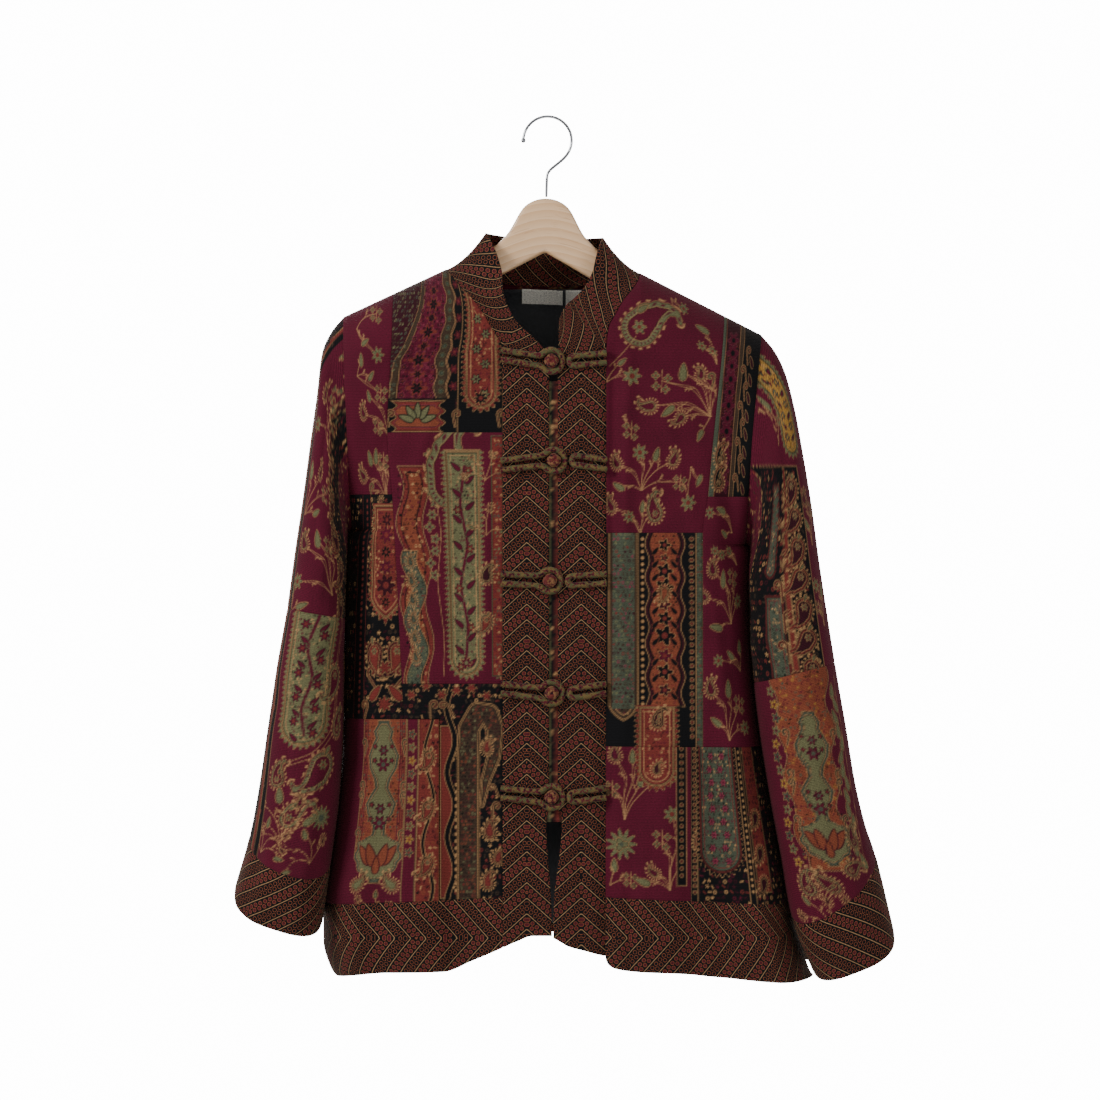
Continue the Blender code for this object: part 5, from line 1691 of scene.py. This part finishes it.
def vase_art():
    art = canvas(PATCHES["front_l_vase_panel"], "burgundy")
    strip(art, -201, -147, "brick", foot=-736)
    for x in (-199, -196.5, -194, -154, -151.5, -149):
        stem(art, [(x, -604), (x, -732)], "burgundy", 0.6)
    speckle(art, ("rust", "burgundy", "moss", "black"), 1.6, 0.75, 19, low=-200, high=-148, foot=-734)
    vase_body(art, -174, -608, 1.0)
    for way in (-1, 1):
        boteh(art, -174 + 19 * way, -768, 13, 60 * way, "burgundy", "olive", "tan", way)
    strip(art, -146, -133, "burgundy")
    for number, z in enumerate(range(-618, -740, -13)):
        flower(art, -140, z, 4.6, ("moss", "olive", "gold")[number % 3], "tan", 5)
    strip(art, -132, -108, "rust")
    speckle(art, ("black", "wine", "tan", "brick"), 2.4, 0.75, 29, low=-131)
    sway = 5.5 * np.sin(art.z * 2 * math.pi / 88)
    strip(art, -121.5 + sway, -118.5 + sway, "black")
    for z in (-640, -690, -745):
        boteh(art, -120, z, 15, 170, "black", "rust")
    spray(art, -174, -800, 26, 0, 0.3, 4)
    finish_art(art)


def right_column_art():
    art = canvas(PATCHES["front_r_column_panel"], "black")
    edge = right.column.x(art.z)
    strip(art, edge, edge + 7, "moss")
    strip(art, edge + 8, edge + 28, "wine", "rust")
    for number, z in enumerate(range(-226, -372, -13)):
        middle = float(right.column.x(z)) + 18
        flower(art, middle, z, 8.5 + (number % 2) * 1.5, "burgundy", "pink", 6, "black")
        flower(art, middle + 5 * (-1) ** number, z - 6, 3.6, "black", "rust", 5, "rust")
    strip(art, edge + 29, edge + 35, "brown")
    for number, z in enumerate(range(-240, -380, -18)):
        curl(art, float(right.column.x(z)) + 42, z, 10, 10, "rust", "tan", (-1) ** number)
        leaf(art, float(right.column.x(z)) + 52, z - 8, 7, 30, "wine")
    for z in (-345, -368):
        boteh(art, float(right.column.x(z)) + 12, z, 16, 10, "rust", "black")
    finish_art(art)


def right_spear_art():
    art = canvas(PATCHES["front_r_spear_panel"], "black")
    tongue(art, 75, -400, -602, 13, "brown", "tan", 0.5, None)
    marks = canvas(art.piece, "moss")
    speckle(marks, ("rust", "wine", "olive", "pink", "brown"), 1.9, 0.9, 31)
    inside = (np.abs(art.x - 75) < 11) & (art.z > -592)
    art.ink[inside] = marks.ink[inside]
    beads(art, 94, -424, -600, 6.3, 2.0, "tan")
    beads(art, 143, -424, -622, 7.0, 2.2, "rust", "tan")
    wave = 2.2 * np.cos(art.z * 2 * math.pi / 33)
    strip(art, 99 - wave, 134 + wave, "wine", foot=-590)
    strip(art, 103 - wave, 130 + wave, "brick", "black", 1.6, foot=-590)
    speckle(art, ("burgundy", "black", "rust"), 1.5, 0.7, 79, low=103, high=130, foot=-588)
    for z, size, yarn in (
        (-430, 6, "black"), (-443, 4, "wine"), (-456, 8, "black"), (-472, 9, "black"), (-489, 6, "wine"),
        (-503, 7, "black"), (-520, 10, "black"), (-540, 7, "burgundy"), (-556, 8, "black"),
        (-574, 6, "wine")
    ):
        flower(art, 116, z, size, yarn, "tan", 5, "rust")
        for way in (-1, 1):
            leaf(art, 116 + 9 * way, z - 6, 4.6, 40 * way, "black", "brick")
    boteh(art, 116, -476, 11, 180, "black", "brick")
    tongue(art, 108, -592, -668, 16, "rust")
    boteh(art, 109, -606, 14, 0, "black", "wine")
    strip(art, 147.5, 154, "moss")
    speckle(art, ("olive", "brown", "rust"), 1.5, 0.8, 37, low=148)
    finish_art(art)


def right_tongue_art():
    art = canvas(PATCHES["front_r_tongue_panel"], "black")
    speckle(art, ("rust", "wine", "burgundy", "tan"), 2.4, 0.75, 41)
    strip(art, 142, 149, "black")
    beads(art, 146, -632, -775, 6.2, 2.0, "rust", "tan")
    curl(art, 155, -650, 9, 0, "rust", "tan")
    for z in (-662, -674, -686):
        flower(art, 156, z, 4.6, "brick", "tan", 6)
    boteh(art, 152, -726, 15, 0, "burgundy", "rust")
    tongue(art, 175, -618, -754, 21, "moss", "rust", 0.0, "black")
    for number, z in enumerate(range(-640, -752, -13)):
        for x in (168 - 2 * (number % 2), 183 - 3 * (number % 2)):
            flower(art, x, z, 4.4, "pink", "brown", 6, "burgundy")
    strip(art, 202, 209, "black")
    beads(art, 205.5, -636, -778, 6.0, 1.9, "tan")
    strip(art, 213, 232, "rust", foot=-775)
    speckle(art, ("wine", "burgundy", "black"), 2.4, 0.8, 43, low=213, high=232)
    for z in (-700, -735, -765):
        boteh(art, 222, z, 12, 170, "black", "wine")
    finish_art(art)


# %% [markdown]
# The sleeves' fronts are drawn round a middle line of their own, because a sleeve turns away at
# both sides. Their backs and the jacket's back are hidden in the photograph, so they are filled
# with a few of the same figures in even rows.

# %% Sleeves and back

SLEEVE_MIDDLE = 75.0  # round the sleeve, from its outer line to the middle of its front


def sleeve_canvas(tag, part, ground):
    """Painted like the fronts, with X counted from the middle of the sleeve's front."""
    shift = -SLEEVE_MIDDLE if tag == "l" else SLEEVE_MIDDLE
    return canvas(PATCHES[f"sleeve_{tag}_{part}"], ground, shift)


def left_sleeve_art():
    art = flowered("sleeve_l_upper_front", -SLEEVE_MIDDLE)
    strip(art, 26, 80, "black")
    speckle(art, ("rust", "wine", "brown", "tan"), 2.6, 0.75, 47, low=27)
    for z in range(-250, -490, -34):
        boteh(art, 36, z, 20, 175, "rust", "wine")
    strip(art, -90, -34, "black")
    speckle(art, ("rust", "wine", "brown"), 2.8, 0.7, 48, high=-36)
    strip(art, -48, -42, "rust")
    finish_art(art)
    art = sleeve_canvas("l", "lower_front", "burgundy")
    tongue(art, 2, -480, -626, 22, "olive", fringe="olive")
    stem(art, [(4, -500), (-4, -530), (7, -562), (-2, -592), (4, -618)], "burgundy", 1.5)
    for number, z in enumerate(range(-508, -618, -12)):
        way = 1 if number % 2 else -1
        flower(art, 2 + 10 * way, z, 5.6, "burgundy", "olive", 6, "rust")
        leaf(art, 2 - 9 * way, z - 4, 6, 45 * way, "burgundy", "olive")
    stem(art, [(38, -500), (38, -570), (34, -612), (14, -636), (-18, -648)])
    stem(art, [(42, -500), (41, -572), (37, -616), (16, -640), (-20, -652)])
    for x, z, size, angle in (
        (34, -560, 24, 175), (26, -648, 32, 160), (-20, -662, 18, 10), (-2, -700, 24, -30),
        (44, -612, 20, 10)
    ):
        boteh(art, x, z, size, angle)
    for row in ((-8, -726, 52, 0, 0.4, 6), (26, -745, 34, 20, 0.4, 4), (-28, -735, 34, -10, -0.4, 4)):
        spray(art, *row)
    flower(art, 31, -700, 12, "olive", "tan", 11, "moss")
    strip(art, -90, -34, "black")
    speckle(art, ("rust", "wine", "brown"), 2.8, 0.7, 49, high=-36)
    strip(art, -48, -42, "rust")
    finish_art(art)


def right_sleeve_art():
    art = sleeve_canvas("r", "upper_front", "burgundy")
    tongue(art, 20, -226, -338, 13, "gold", "olive", 0.0, "olive")
    for number, z in enumerate(range(-246, -332, -11)):
        flower(art, 20 + 5 * (-1) ** number, z, 4.6, "moss", "brick", 6, "gold")
        leaf(art, 20 - 6 * (-1) ** number, z, 4.5, 40 * (-1) ** number, "burgundy", "olive")
    branch(
        art, -10, -330, ("boteh", -26, -286, 11, 20), ("leaf", -8, -290, 8, 0), ("flower", 2, -306, 6, 0)
    )
    branch(
        art, 34, -430, ("boteh", 30, -386, 10, 10), ("cluster", 44, -394, 8, 0), ("leaf", 28, -410, 7, 30)
    )
    branch(
        art, 36, -510, ("flower", 30, -470, 7, 0), ("leaf", 42, -474, 8, -10), ("cluster", 30, -492, 7, 0)
    )
    strip(art, -80, 24, "black", top=-352)
    speckle(art, ("rust", "wine", "brown", "tan"), 2.8, 0.7, 53, high=22, top=-354)
    tongue(art, -28, -372, -462, 7, "moss", "rust", 0.3, None)
    tongue(art, -22, -482, -580, 9, "moss", "rust", 0.3, None)
    strip(art, -9, -3, "rust", top=-354)
    for number, z in enumerate(range(-372, -560, -30)):
        boteh(art, 10, z, 22, 170 - 20 * (number % 2), "rust", "wine")
        curl(art, -12, z - 12, 12, 0, "rust", "tan", (-1) ** number)
    finish_art(art)
    art = sleeve_canvas("r", "lower_front", "burgundy")
    wave = 4 * np.sin(art.z * 2 * math.pi / 52)
    drift = 0.04 * (art.z + 600)
    strip(art, -33 - wave - drift, 22 + wave + drift, "brick", foot=-752, top=-540)
    speckle(
        art, ("rust", "gold", "burgundy", "black", "moss"), 1.7, 0.75, 61, low=-30, high=20, foot=-745,
        top=-545
    )
    vase_body(art, -2, -598, 0.95)
    for number, z in enumerate(range(-575, -745, -13)):
        flower(
            art, -37 + 3 * math.sin(number), z, 5.4, ("olive", "gold", "moss")[number % 3], "tan", 5,
            "burgundy"
        )
        leaf(art, 31 + 3 * math.sin(number * 2), z, 8, 20 * math.sin(number), "olive")
    stem(art, [(40, -560), (37, -620), (42, -680), (36, -740)])
    for x, z, size, angle in (
        (-11, -768, 17, 60), (13, -752, 16, -50), (27, -724, 16, 20), (36, -780, 16, 20),
        (-34, -770, 18, 10)
    ):
        boteh(art, x, z, size, angle)
    spray(art, -26, -812, 34, 10, 0.3, 5)
    spray(art, 10, -806, 30, -10, 0.3, 4)
    finish_art(art)


def sleeve_back_art(tag):
    """The hidden backs of the sleeves: upright strips and rows of paisleys on black."""
    for part in ("upper_back", "lower_back"):
        art = canvas(PATCHES[f"sleeve_{tag}_{part}"], "black")
        speckle(art, ("rust", "wine", "brown"), 3.6, 0.6, 67)
        way = -1 if tag == "l" else 1
        for number in range(4):
            x = way * (20 + number * 34)
            strip(art, x - 5, x + 5, "wine" if number % 2 else "rust", "tan", 1.2)
            for z in np.arange(art.z.min() + 20, art.z.max(), 36):
                boteh(art, x + way * 17, z, 22, 175, "rust", "wine")
        finish_art(art)


def underlap_art():
    art = canvas(PATCHES["underlap"], "brown")
    for x, yarn in ((-8, "rust"), (1, "olive"), (9, "rust"), (17, "olive")):
        strip(art, x - 2.5, x + 2.5, yarn, "black", 1.5)
    speckle(art, ("black", "brown", "tan"), 2.5, 0.8, 89)
    finish_art(art)


def back_art():
    """The hidden back, finished in the same burgundy cloth: half-dropped rows of large sprays."""
    art = canvas(PATCHES["back"], "burgundy")
    for row, z in enumerate(range(-770, -170, 74)):
        for x in range(-220 + 42 * (row % 2), 240, 84):
            spray(art, x, z, 58, 18 * (-1) ** row, 0.5 * (-1) ** row, 6)
            boteh(art, x + 40, z + 14, 22, 20 * (-1) ** row)
    finish_art(art)


for name in ("front_l_shoulder_panel", "front_r_side_panel"):
    finish_art(flowered(name))
for paint in (
    chest_art, floral_art, column_art, paisley_art, spear_art, scroll_art, vase_art,
    right_column_art, right_spear_art, right_tongue_art, left_sleeve_art, right_sleeve_art,
    underlap_art, back_art,
):
    paint()
sleeve_back_art("l")
sleeve_back_art("r")
print("painted pieces:", sum("ink" in piece.data.attributes for piece in PATCHES.values()))

# %% [markdown]
# ## Trim cloth
#
# The bands, hems, cuffs and collar are one other cloth, woven in slanting rows. It needs no
# painting: each piece only notes how far a point lies across the rows and how far along them. On
# the front bands the rows meet in upward chevrons, on the hems they point sideways.

# %% Rows of the trim cloth

SLANT = math.radians(42)
BAND_PEAK = {LEFT: -21.0, RIGHT: 33.0}
FRONT_HEM_PEAK, BACK_HEM_PEAK = -820, -815


def trim_rows(piece, rule):
    """Give a piece its across and along distances, from a rule on its lay and its own X and Z."""
    mesh = piece.data
    lay = np.zeros(len(mesh.vertices) * 2, dtype=np.float32)
    mesh.attributes["lay"].data.foreach_get("vector", lay)
    place = np.zeros(len(mesh.vertices) * 3, dtype=np.float32)
    mesh.vertices.foreach_get("co", place)
    place = place.reshape(-1, 3) / MM
    across, along = rule(lay.reshape(-1, 2)[:, 0], lay.reshape(-1, 2)[:, 1], place[:, 0], place[:, 2])
    attribute_to(mesh, "rows", "FLOAT2", "vector", np.stack([across, along], axis=-1))


def slanted(u, v):
    return u * math.sin(SLANT) + v * math.cos(SLANT), u * math.cos(SLANT) - v * math.sin(SLANT)


for side, tag in ((LEFT, "l"), (RIGHT, "r")):
    trim_rows(PATCHES[f"band_{tag}"], lambda u, v, x, z: slanted(np.abs(x - BAND_PEAK[side]), z))
    trim_rows(PATCHES[f"hem_band_{tag}"], lambda u, v, x, z: slanted(np.abs(z - FRONT_HEM_PEAK), u))
    trim_rows(PATCHES[f"cuff_{tag}"], lambda u, v, x, z: slanted(side * u, v))
trim_rows(PATCHES["back_hem_band"], lambda u, v, x, z: slanted(np.abs(z - BACK_HEM_PEAK), u))
trim_rows(PATCHES["collar"], lambda u, v, x, z: slanted(u, v))
print("trim pieces:", sum("rows" in piece.data.attributes for piece in PATCHES.values()))

# %% [markdown]
# ## Materials
#
# One helper adds any shader node, sets it up and links its inputs. Every pattern is measured in
# real millimetres, from the "lay" of the cloth or from the object's own coordinates.

# %% One helper for nodes

COAT = "ShaderNodeBsdfPrincipled"
ONE_BAND = 0.314  # a wave texture of this scale repeats once in each unit of its coordinates


def add(tree, kind, inputs, **settings):
    """Add a node with its settings; inputs are values, or outputs of other nodes to link."""
    node = tree.nodes.new(kind)
    for name, value in settings.items():
        setattr(node, name, value)
    for key, value in inputs.items():
        if isinstance(value, bpy.types.NodeSocket):
            tree.links.new(value, node.inputs[key])
        else:
            node.inputs[key].default_value = value
    return node.outputs


def colour(code):
    return (*linear(code), 1.0)


def calc(tree, operation, *values):
    return add(tree, "ShaderNodeMath", dict(enumerate(values)), operation=operation)["Value"]


def mixed(tree, factor, low, high, blend="MIX"):
    """Two colours mixed; the high one may be woven over the low one."""
    return add(tree, "ShaderNodeMix", {0: factor, 6: low, 7: high}, data_type="RGBA", blend_type=blend)[2]


def new_material(name):
    material = bpy.data.materials.new(name)
    material.use_nodes = True
    material.node_tree.nodes.clear()
    return material, material.node_tree


def coat(tree, inputs, bump, distance, strength=0.6):
    """Close a material: a bump of a real depth, and the principled shader's own constant values."""
    normal = add(
        tree, "ShaderNodeBump", {"Strength": strength, "Distance": distance, "Height": bump}
    )["Normal"]
    shader = add(tree, COAT, {**inputs, "Normal": normal})
    add(tree, "ShaderNodeOutputMaterial", {"Surface": shader["BSDF"]})


# %% [markdown]
# Jacquard has raised ribs of weft. The painted colour is broken up by flecks that are longer along
# the rib than across it, a random tone of the yarns, and it is painted darker as shade where the
# ribs and flecks are low.

# %% Jacquard and trim cloth


def woven(tree, base, rib=1.5):
    """Break a flat colour into yarns, with painted shade where the weave is low; gives colour and height.
    """
    lay = add(tree, "ShaderNodeAttribute", {}, attribute_name="lay")["Vector"]
    ribs = add(
        tree, "ShaderNodeTexWave",
        {"Vector": lay, "Scale": ONE_BAND / rib, "Distortion": 1.2, "Detail": 2.0, "Detail Scale": 1.5},
        wave_type="BANDS", bands_direction="Y"
    )["Fac"]
    flecks_at = add(
        tree, "ShaderNodeVectorMath", {0: lay, 1: (0.55, 1.7, 1.0)}, operation="MULTIPLY"
    )["Vector"]
    flecks = add(
        tree, "ShaderNodeTexNoise", {"Vector": flecks_at, "Scale": 1.0, "Detail": 3.0, "Roughness": 0.65}
    )["Fac"]
    cloud = add(tree, "ShaderNodeTexNoise", {"Vector": lay, "Scale": 0.03, "Detail": 2.0})["Fac"]
    # The colour follows the ribs and flecks that also give the height, so the weave's low parts are painted
    # darker as shade; the flecks and the slow cloud are also a random tone of the yarns.
    depth = calc(tree, "MULTIPLY_ADD", flecks, 2.6, calc(tree, "MULTIPLY_ADD", ribs, 0.4, -0.6))
    depth = calc(tree, "ADD", depth, calc(tree, "MULTIPLY_ADD", cloud, 0.5, -0.25))
    shade = add(tree, "ShaderNodeCombineColor", {0: depth, 1: depth, 2: depth})["Color"]
    yarns = mixed(tree, 0.85, base, shade, "MULTIPLY")
    lift = calc(tree, "MULTIPLY_ADD", flecks, 0.7, ribs)
    return yarns, lift


CLOTH = {"Roughness": 0.86, "Specular IOR Level": 0.12, "Sheen Weight": 0.05, "Sheen Roughness": 0.4}


def jacquard(name):
    """Heavy cotton and viscose jacquard, drawn in flat yarn colours on a dark ground."""
    material, tree = new_material(name)
    base = add(tree, "ShaderNodeAttribute", {}, attribute_name="ink")["Color"]
    yarns, lift = woven(tree, base)
    coat(tree, {"Base Color": yarns, "Sheen Tint": colour("#d8b9a4"), **CLOTH}, lift, 0.0005)
    return material


ROW = 11.4  # one period of the trim cloth, across its rows


def trim_cloth(name):
    """Black jacquard with tan lines and two rows of small rings between them. Every other pair of
    rows has red hearts."""
    material, tree = new_material(name)
    rows = add(tree, "ShaderNodeAttribute", {}, attribute_name="rows")["Vector"]
    place = add(tree, "ShaderNodeSeparateXYZ", {"Vector": rows})
    cell = calc(tree, "FLOORED_MODULO", place["X"], ROW)
    step = calc(tree, "MULTIPLY_ADD", calc(tree, "GREATER_THAN", cell, 7.3), 2.8, place["Y"])
    u = calc(tree, "SUBTRACT", calc(tree, "FLOORED_MODULO", step, 5.6), 2.8)
    v = calc(tree, "SUBTRACT", calc(tree, "ABSOLUTE", calc(tree, "SUBTRACT", cell, 7.3)), 2.05)
    ray = add(
        tree, "ShaderNodeVectorMath", {0: add(tree, "ShaderNodeCombineXYZ", {0: u, 1: v})["Vector"]},
        operation="LENGTH"
    )["Value"]
    every_other = calc(tree, "GREATER_THAN", calc(tree, "FLOORED_MODULO", place["X"], 2 * ROW), ROW)
    heart = mixed(tree, every_other, colour("#08070a"), colour("#44151b"))
    ink = mixed(tree, calc(tree, "LESS_THAN", ray, 2.0), colour("#08070a"), colour("#75402a"))
    ink = mixed(tree, calc(tree, "LESS_THAN", ray, 1.55), ink, heart)
    ink = mixed(tree, calc(tree, "COMPARE", cell, 1.6, 0.38), ink, colour("#836546"))
    yarns, lift = woven(tree, ink, 1.2)
    coat(tree, {"Base Color": yarns, "Sheen Tint": colour("#d8c6a4"), **CLOTH}, lift, 0.0004)
    return material


# %% [markdown]
# The frogs are tubes of the patterned cloth cut on the bias, so the pattern shows on them only as
# mottled patches. Their twill runs round the tube at a slant, with painted shade along its low lines.

# %% Frog cloth, lining and labels


def frog_cloth(name, ground, second):
    """A bias tube of jacquard in two main colours, spotted with burgundy and black, with painted twill
    shade.
    """
    material, tree = new_material(name)
    lay = add(tree, "ShaderNodeAttribute", {}, attribute_name="lay")["Vector"]
    place = add(tree, "ShaderNodeTexCoord", {})["Object"]
    patches = add(tree, "ShaderNodeTexNoise", {"Vector": place, "Scale": 210.0, "Detail": 2.0})["Fac"]
    spots = add(
        tree, "ShaderNodeTexNoise", {"Vector": place, "Scale": 330.0, "Detail": 2.0, "W": 3.0},
        noise_dimensions="4D"
    )["Fac"]
    ink = mixed(tree, calc(tree, "GREATER_THAN", patches, 0.49), colour(ground), colour(second))
    ink = mixed(tree, calc(tree, "GREATER_THAN", spots, 0.53), ink, colour("#4a171e"))
    ink = mixed(tree, calc(tree, "GREATER_THAN", spots, 0.62), ink, colour("#150e11"))
    twill = add(
        tree, "ShaderNodeTexWave", {"Vector": lay, "Scale": ONE_BAND / 1.1, "Distortion": 0.8},
        bands_direction="DIAGONAL"
    )["Fac"]
    # The twill darkens the colour where its bump is low: painted shade.
    shade = calc(tree, "MULTIPLY_ADD", twill, 0.35, 0.75)
    twill_shade_colour = add(tree, "ShaderNodeCombineColor", {0: shade, 1: shade, 2: shade})["Color"]
    coat(tree, {"Base Color": mixed(tree, 1.0, ink, twill_shade_colour, "MULTIPLY"), **CLOTH}, twill, 0.0003)
    return material


def plain_cloth(name, code, rib, roughness, sheen):
    """A one-colour woven cloth: dark satin, or the pale tape of a label."""
    material, tree = new_material(name)
    yarns, lift = woven(tree, colour(code), rib)
    coat(
        tree,
        {"Base Color": yarns, "Roughness": roughness, "Sheen Weight": sheen, "Specular IOR Level": 0.4},
        lift, 0.00012
    )
    return material


# %% [markdown]
# Beech is pale, with arches of slightly darker late wood where the board was cut through its growth
# rings, and short dark flecks along the grain. A clear satin lacquer covers it.

# %% Beech and chrome


def beech(name):
    """Flat-sawn beech under clear satin lacquer."""
    material, tree = new_material(name)
    place = add(tree, "ShaderNodeTexCoord", {})["Object"]
    axes = add(tree, "ShaderNodeSeparateXYZ", {"Vector": place})
    bend = add(tree, "ShaderNodeCombineXYZ", {0: axes["X"], 1: 0.03})["Vector"]
    arch = add(tree, "ShaderNodeVectorMath", {0: bend}, operation="LENGTH")["Value"]
    height = calc(tree, "MULTIPLY_ADD", arch, 0.5, axes["Z"])
    board = add(
        tree, "ShaderNodeCombineXYZ",
        {0: calc(tree, "MULTIPLY", axes["X"], 0.06), 1: axes["Y"], 2: height}
    )["Vector"]
    rings = add(
        tree, "ShaderNodeTexWave",
        {"Vector": board, "Scale": ONE_BAND / 0.008, "Distortion": 3.5, "Detail": 2.0, "Detail Scale": 0.8},
        bands_direction="Z", wave_profile="SAW"
    )["Fac"]
    flecks_at = add(
        tree, "ShaderNodeVectorMath", {0: board, 1: (600.0, 500.0, 900.0)}, operation="MULTIPLY"
    )["Vector"]
    flecks = add(tree, "ShaderNodeTexNoise", {"Vector": flecks_at, "Scale": 1.0, "Detail": 3.0})["Fac"]
    ink = mixed(tree, rings, colour("#cfac85"), colour("#bf966c"))
    ink = mixed(
        tree, calc(tree, "MULTIPLY", calc(tree, "GREATER_THAN", flecks, 0.62), 0.45), ink,
        colour("#9c6f48")
    )
    lacquer = {"Base Color": ink, "Roughness": 0.38, "Coat Weight": 0.35, "Coat Roughness": 0.18}
    coat(tree, lacquer, calc(tree, "ADD", rings, flecks), 0.00005, 0.3)
    return material


def chrome(name):
    """Bright chromium plate on drawn steel wire, with faint draw marks."""
    material, tree = new_material(name)
    place = add(tree, "ShaderNodeTexCoord", {})["Object"]
    haze = add(tree, "ShaderNodeTexNoise", {"Vector": place, "Scale": 700.0, "Detail": 2.0})["Fac"]
    rough = calc(tree, "MULTIPLY_ADD", haze, 0.08, 0.06)
    coat(tree, {"Base Color": colour("#85878a"), "Metallic": 1.0, "Roughness": rough}, haze, 0.00001, 0.2)
    return material


# %% [markdown]
# Every piece now gets the material of its own cloth.

# %% Dress the pieces

JACQUARD, TRIM = jacquard("paisley_jacquard"), trim_cloth("chevron_trim_jacquard")
FROG = frog_cloth("bias_tube_cloth", "#45432a", "#5a4a2b")
KNOT = frog_cloth("bias_knot_cloth", "#5a2622", "#6b4a30")
SATIN = plain_cloth("navy_black_satin", "#0c0d12", 0.5, 0.4, 0.1)
TAPE = plain_cloth("pale_woven_tape", "#d6d2c6", 0.7, 0.75, 0.2)
for name, piece in PATCHES.items():
    if "ink" in piece.data.attributes:
        finish = JACQUARD
    elif "rows" in piece.data.attributes:
        finish = TRIM
    else:
        finish = SATIN if name == "back_lining" else TAPE
    piece.data.materials.append(finish)
for name, piece in FROG_PIECES.items():
    piece.data.materials.append(KNOT if "knot" in name else FROG)
WOOD.data.materials.append(beech("satin_lacquered_beech"))
HOOK.data.materials.append(chrome("polished_chrome"))
print("materials:", sorted(material.name for material in bpy.data.materials if material.users))

# %% [markdown]
# ## Camera and studio
#
# The camera stands level with the middle of the jacket, straight in front, far enough away that the
# jacket looks almost flat, as in the photograph. Large soft lights stand at both sides and behind,
# and a white studio surrounds it all.

# %% Camera, lights and backdrop


def staged(name, data, place, look_at=None):
    item = bpy.data.objects.new(name, data)
    bpy.context.scene.collection.objects.link(item)
    item.location = place
    if look_at is not None:
        way = mathutils.Vector(look_at) - mathutils.Vector(place)
        item.rotation_euler = way.to_track_quat("-Z", "Y").to_euler()
    return item


CAMERA_Y = -4.5
camera = staged("camera", bpy.data.cameras.new("camera"), (0.002, CAMERA_Y, -0.435), (0.002, 0, -0.435))
camera.data.sensor_width = 36
camera.data.lens = 36 * (-CAMERA_Y - 0.03) / 1.1
bpy.context.scene.camera = camera
LIGHTS = (
    # name, place, power, width
    ("key", (-2.2, -1.6, 0.8), 84, 0.9),
    ("fill", (1.9, -2.4, 0.1), 22, 1.8),
    ("low", (0.0, -2.6, -1.8), 14, 1.6),
    ("behind", (-0.8, 2.8, 0.6), 60, 1.8),
)
for name, place, power, width in LIGHTS:
    lamp = staged(name, bpy.data.lights.new(name, "AREA"), place, (0, 0, -0.45))
    lamp.data.energy = power
    lamp.data.size = width
world = bpy.data.worlds.new("studio")
world.use_nodes = True
world.node_tree.nodes.clear()
is_seen = add(world.node_tree, "ShaderNodeLightPath", {})["Is Camera Ray"]
strength = calc(world.node_tree, "MULTIPLY_ADD", is_seen, 14.0, 0.7)
sky = add(
    world.node_tree, "ShaderNodeBackground", {"Color": (1, 1, 1, 1), "Strength": strength}
)["Background"]
add(world.node_tree, "ShaderNodeOutputWorld", {"Surface": sky})
bpy.context.scene.world = world
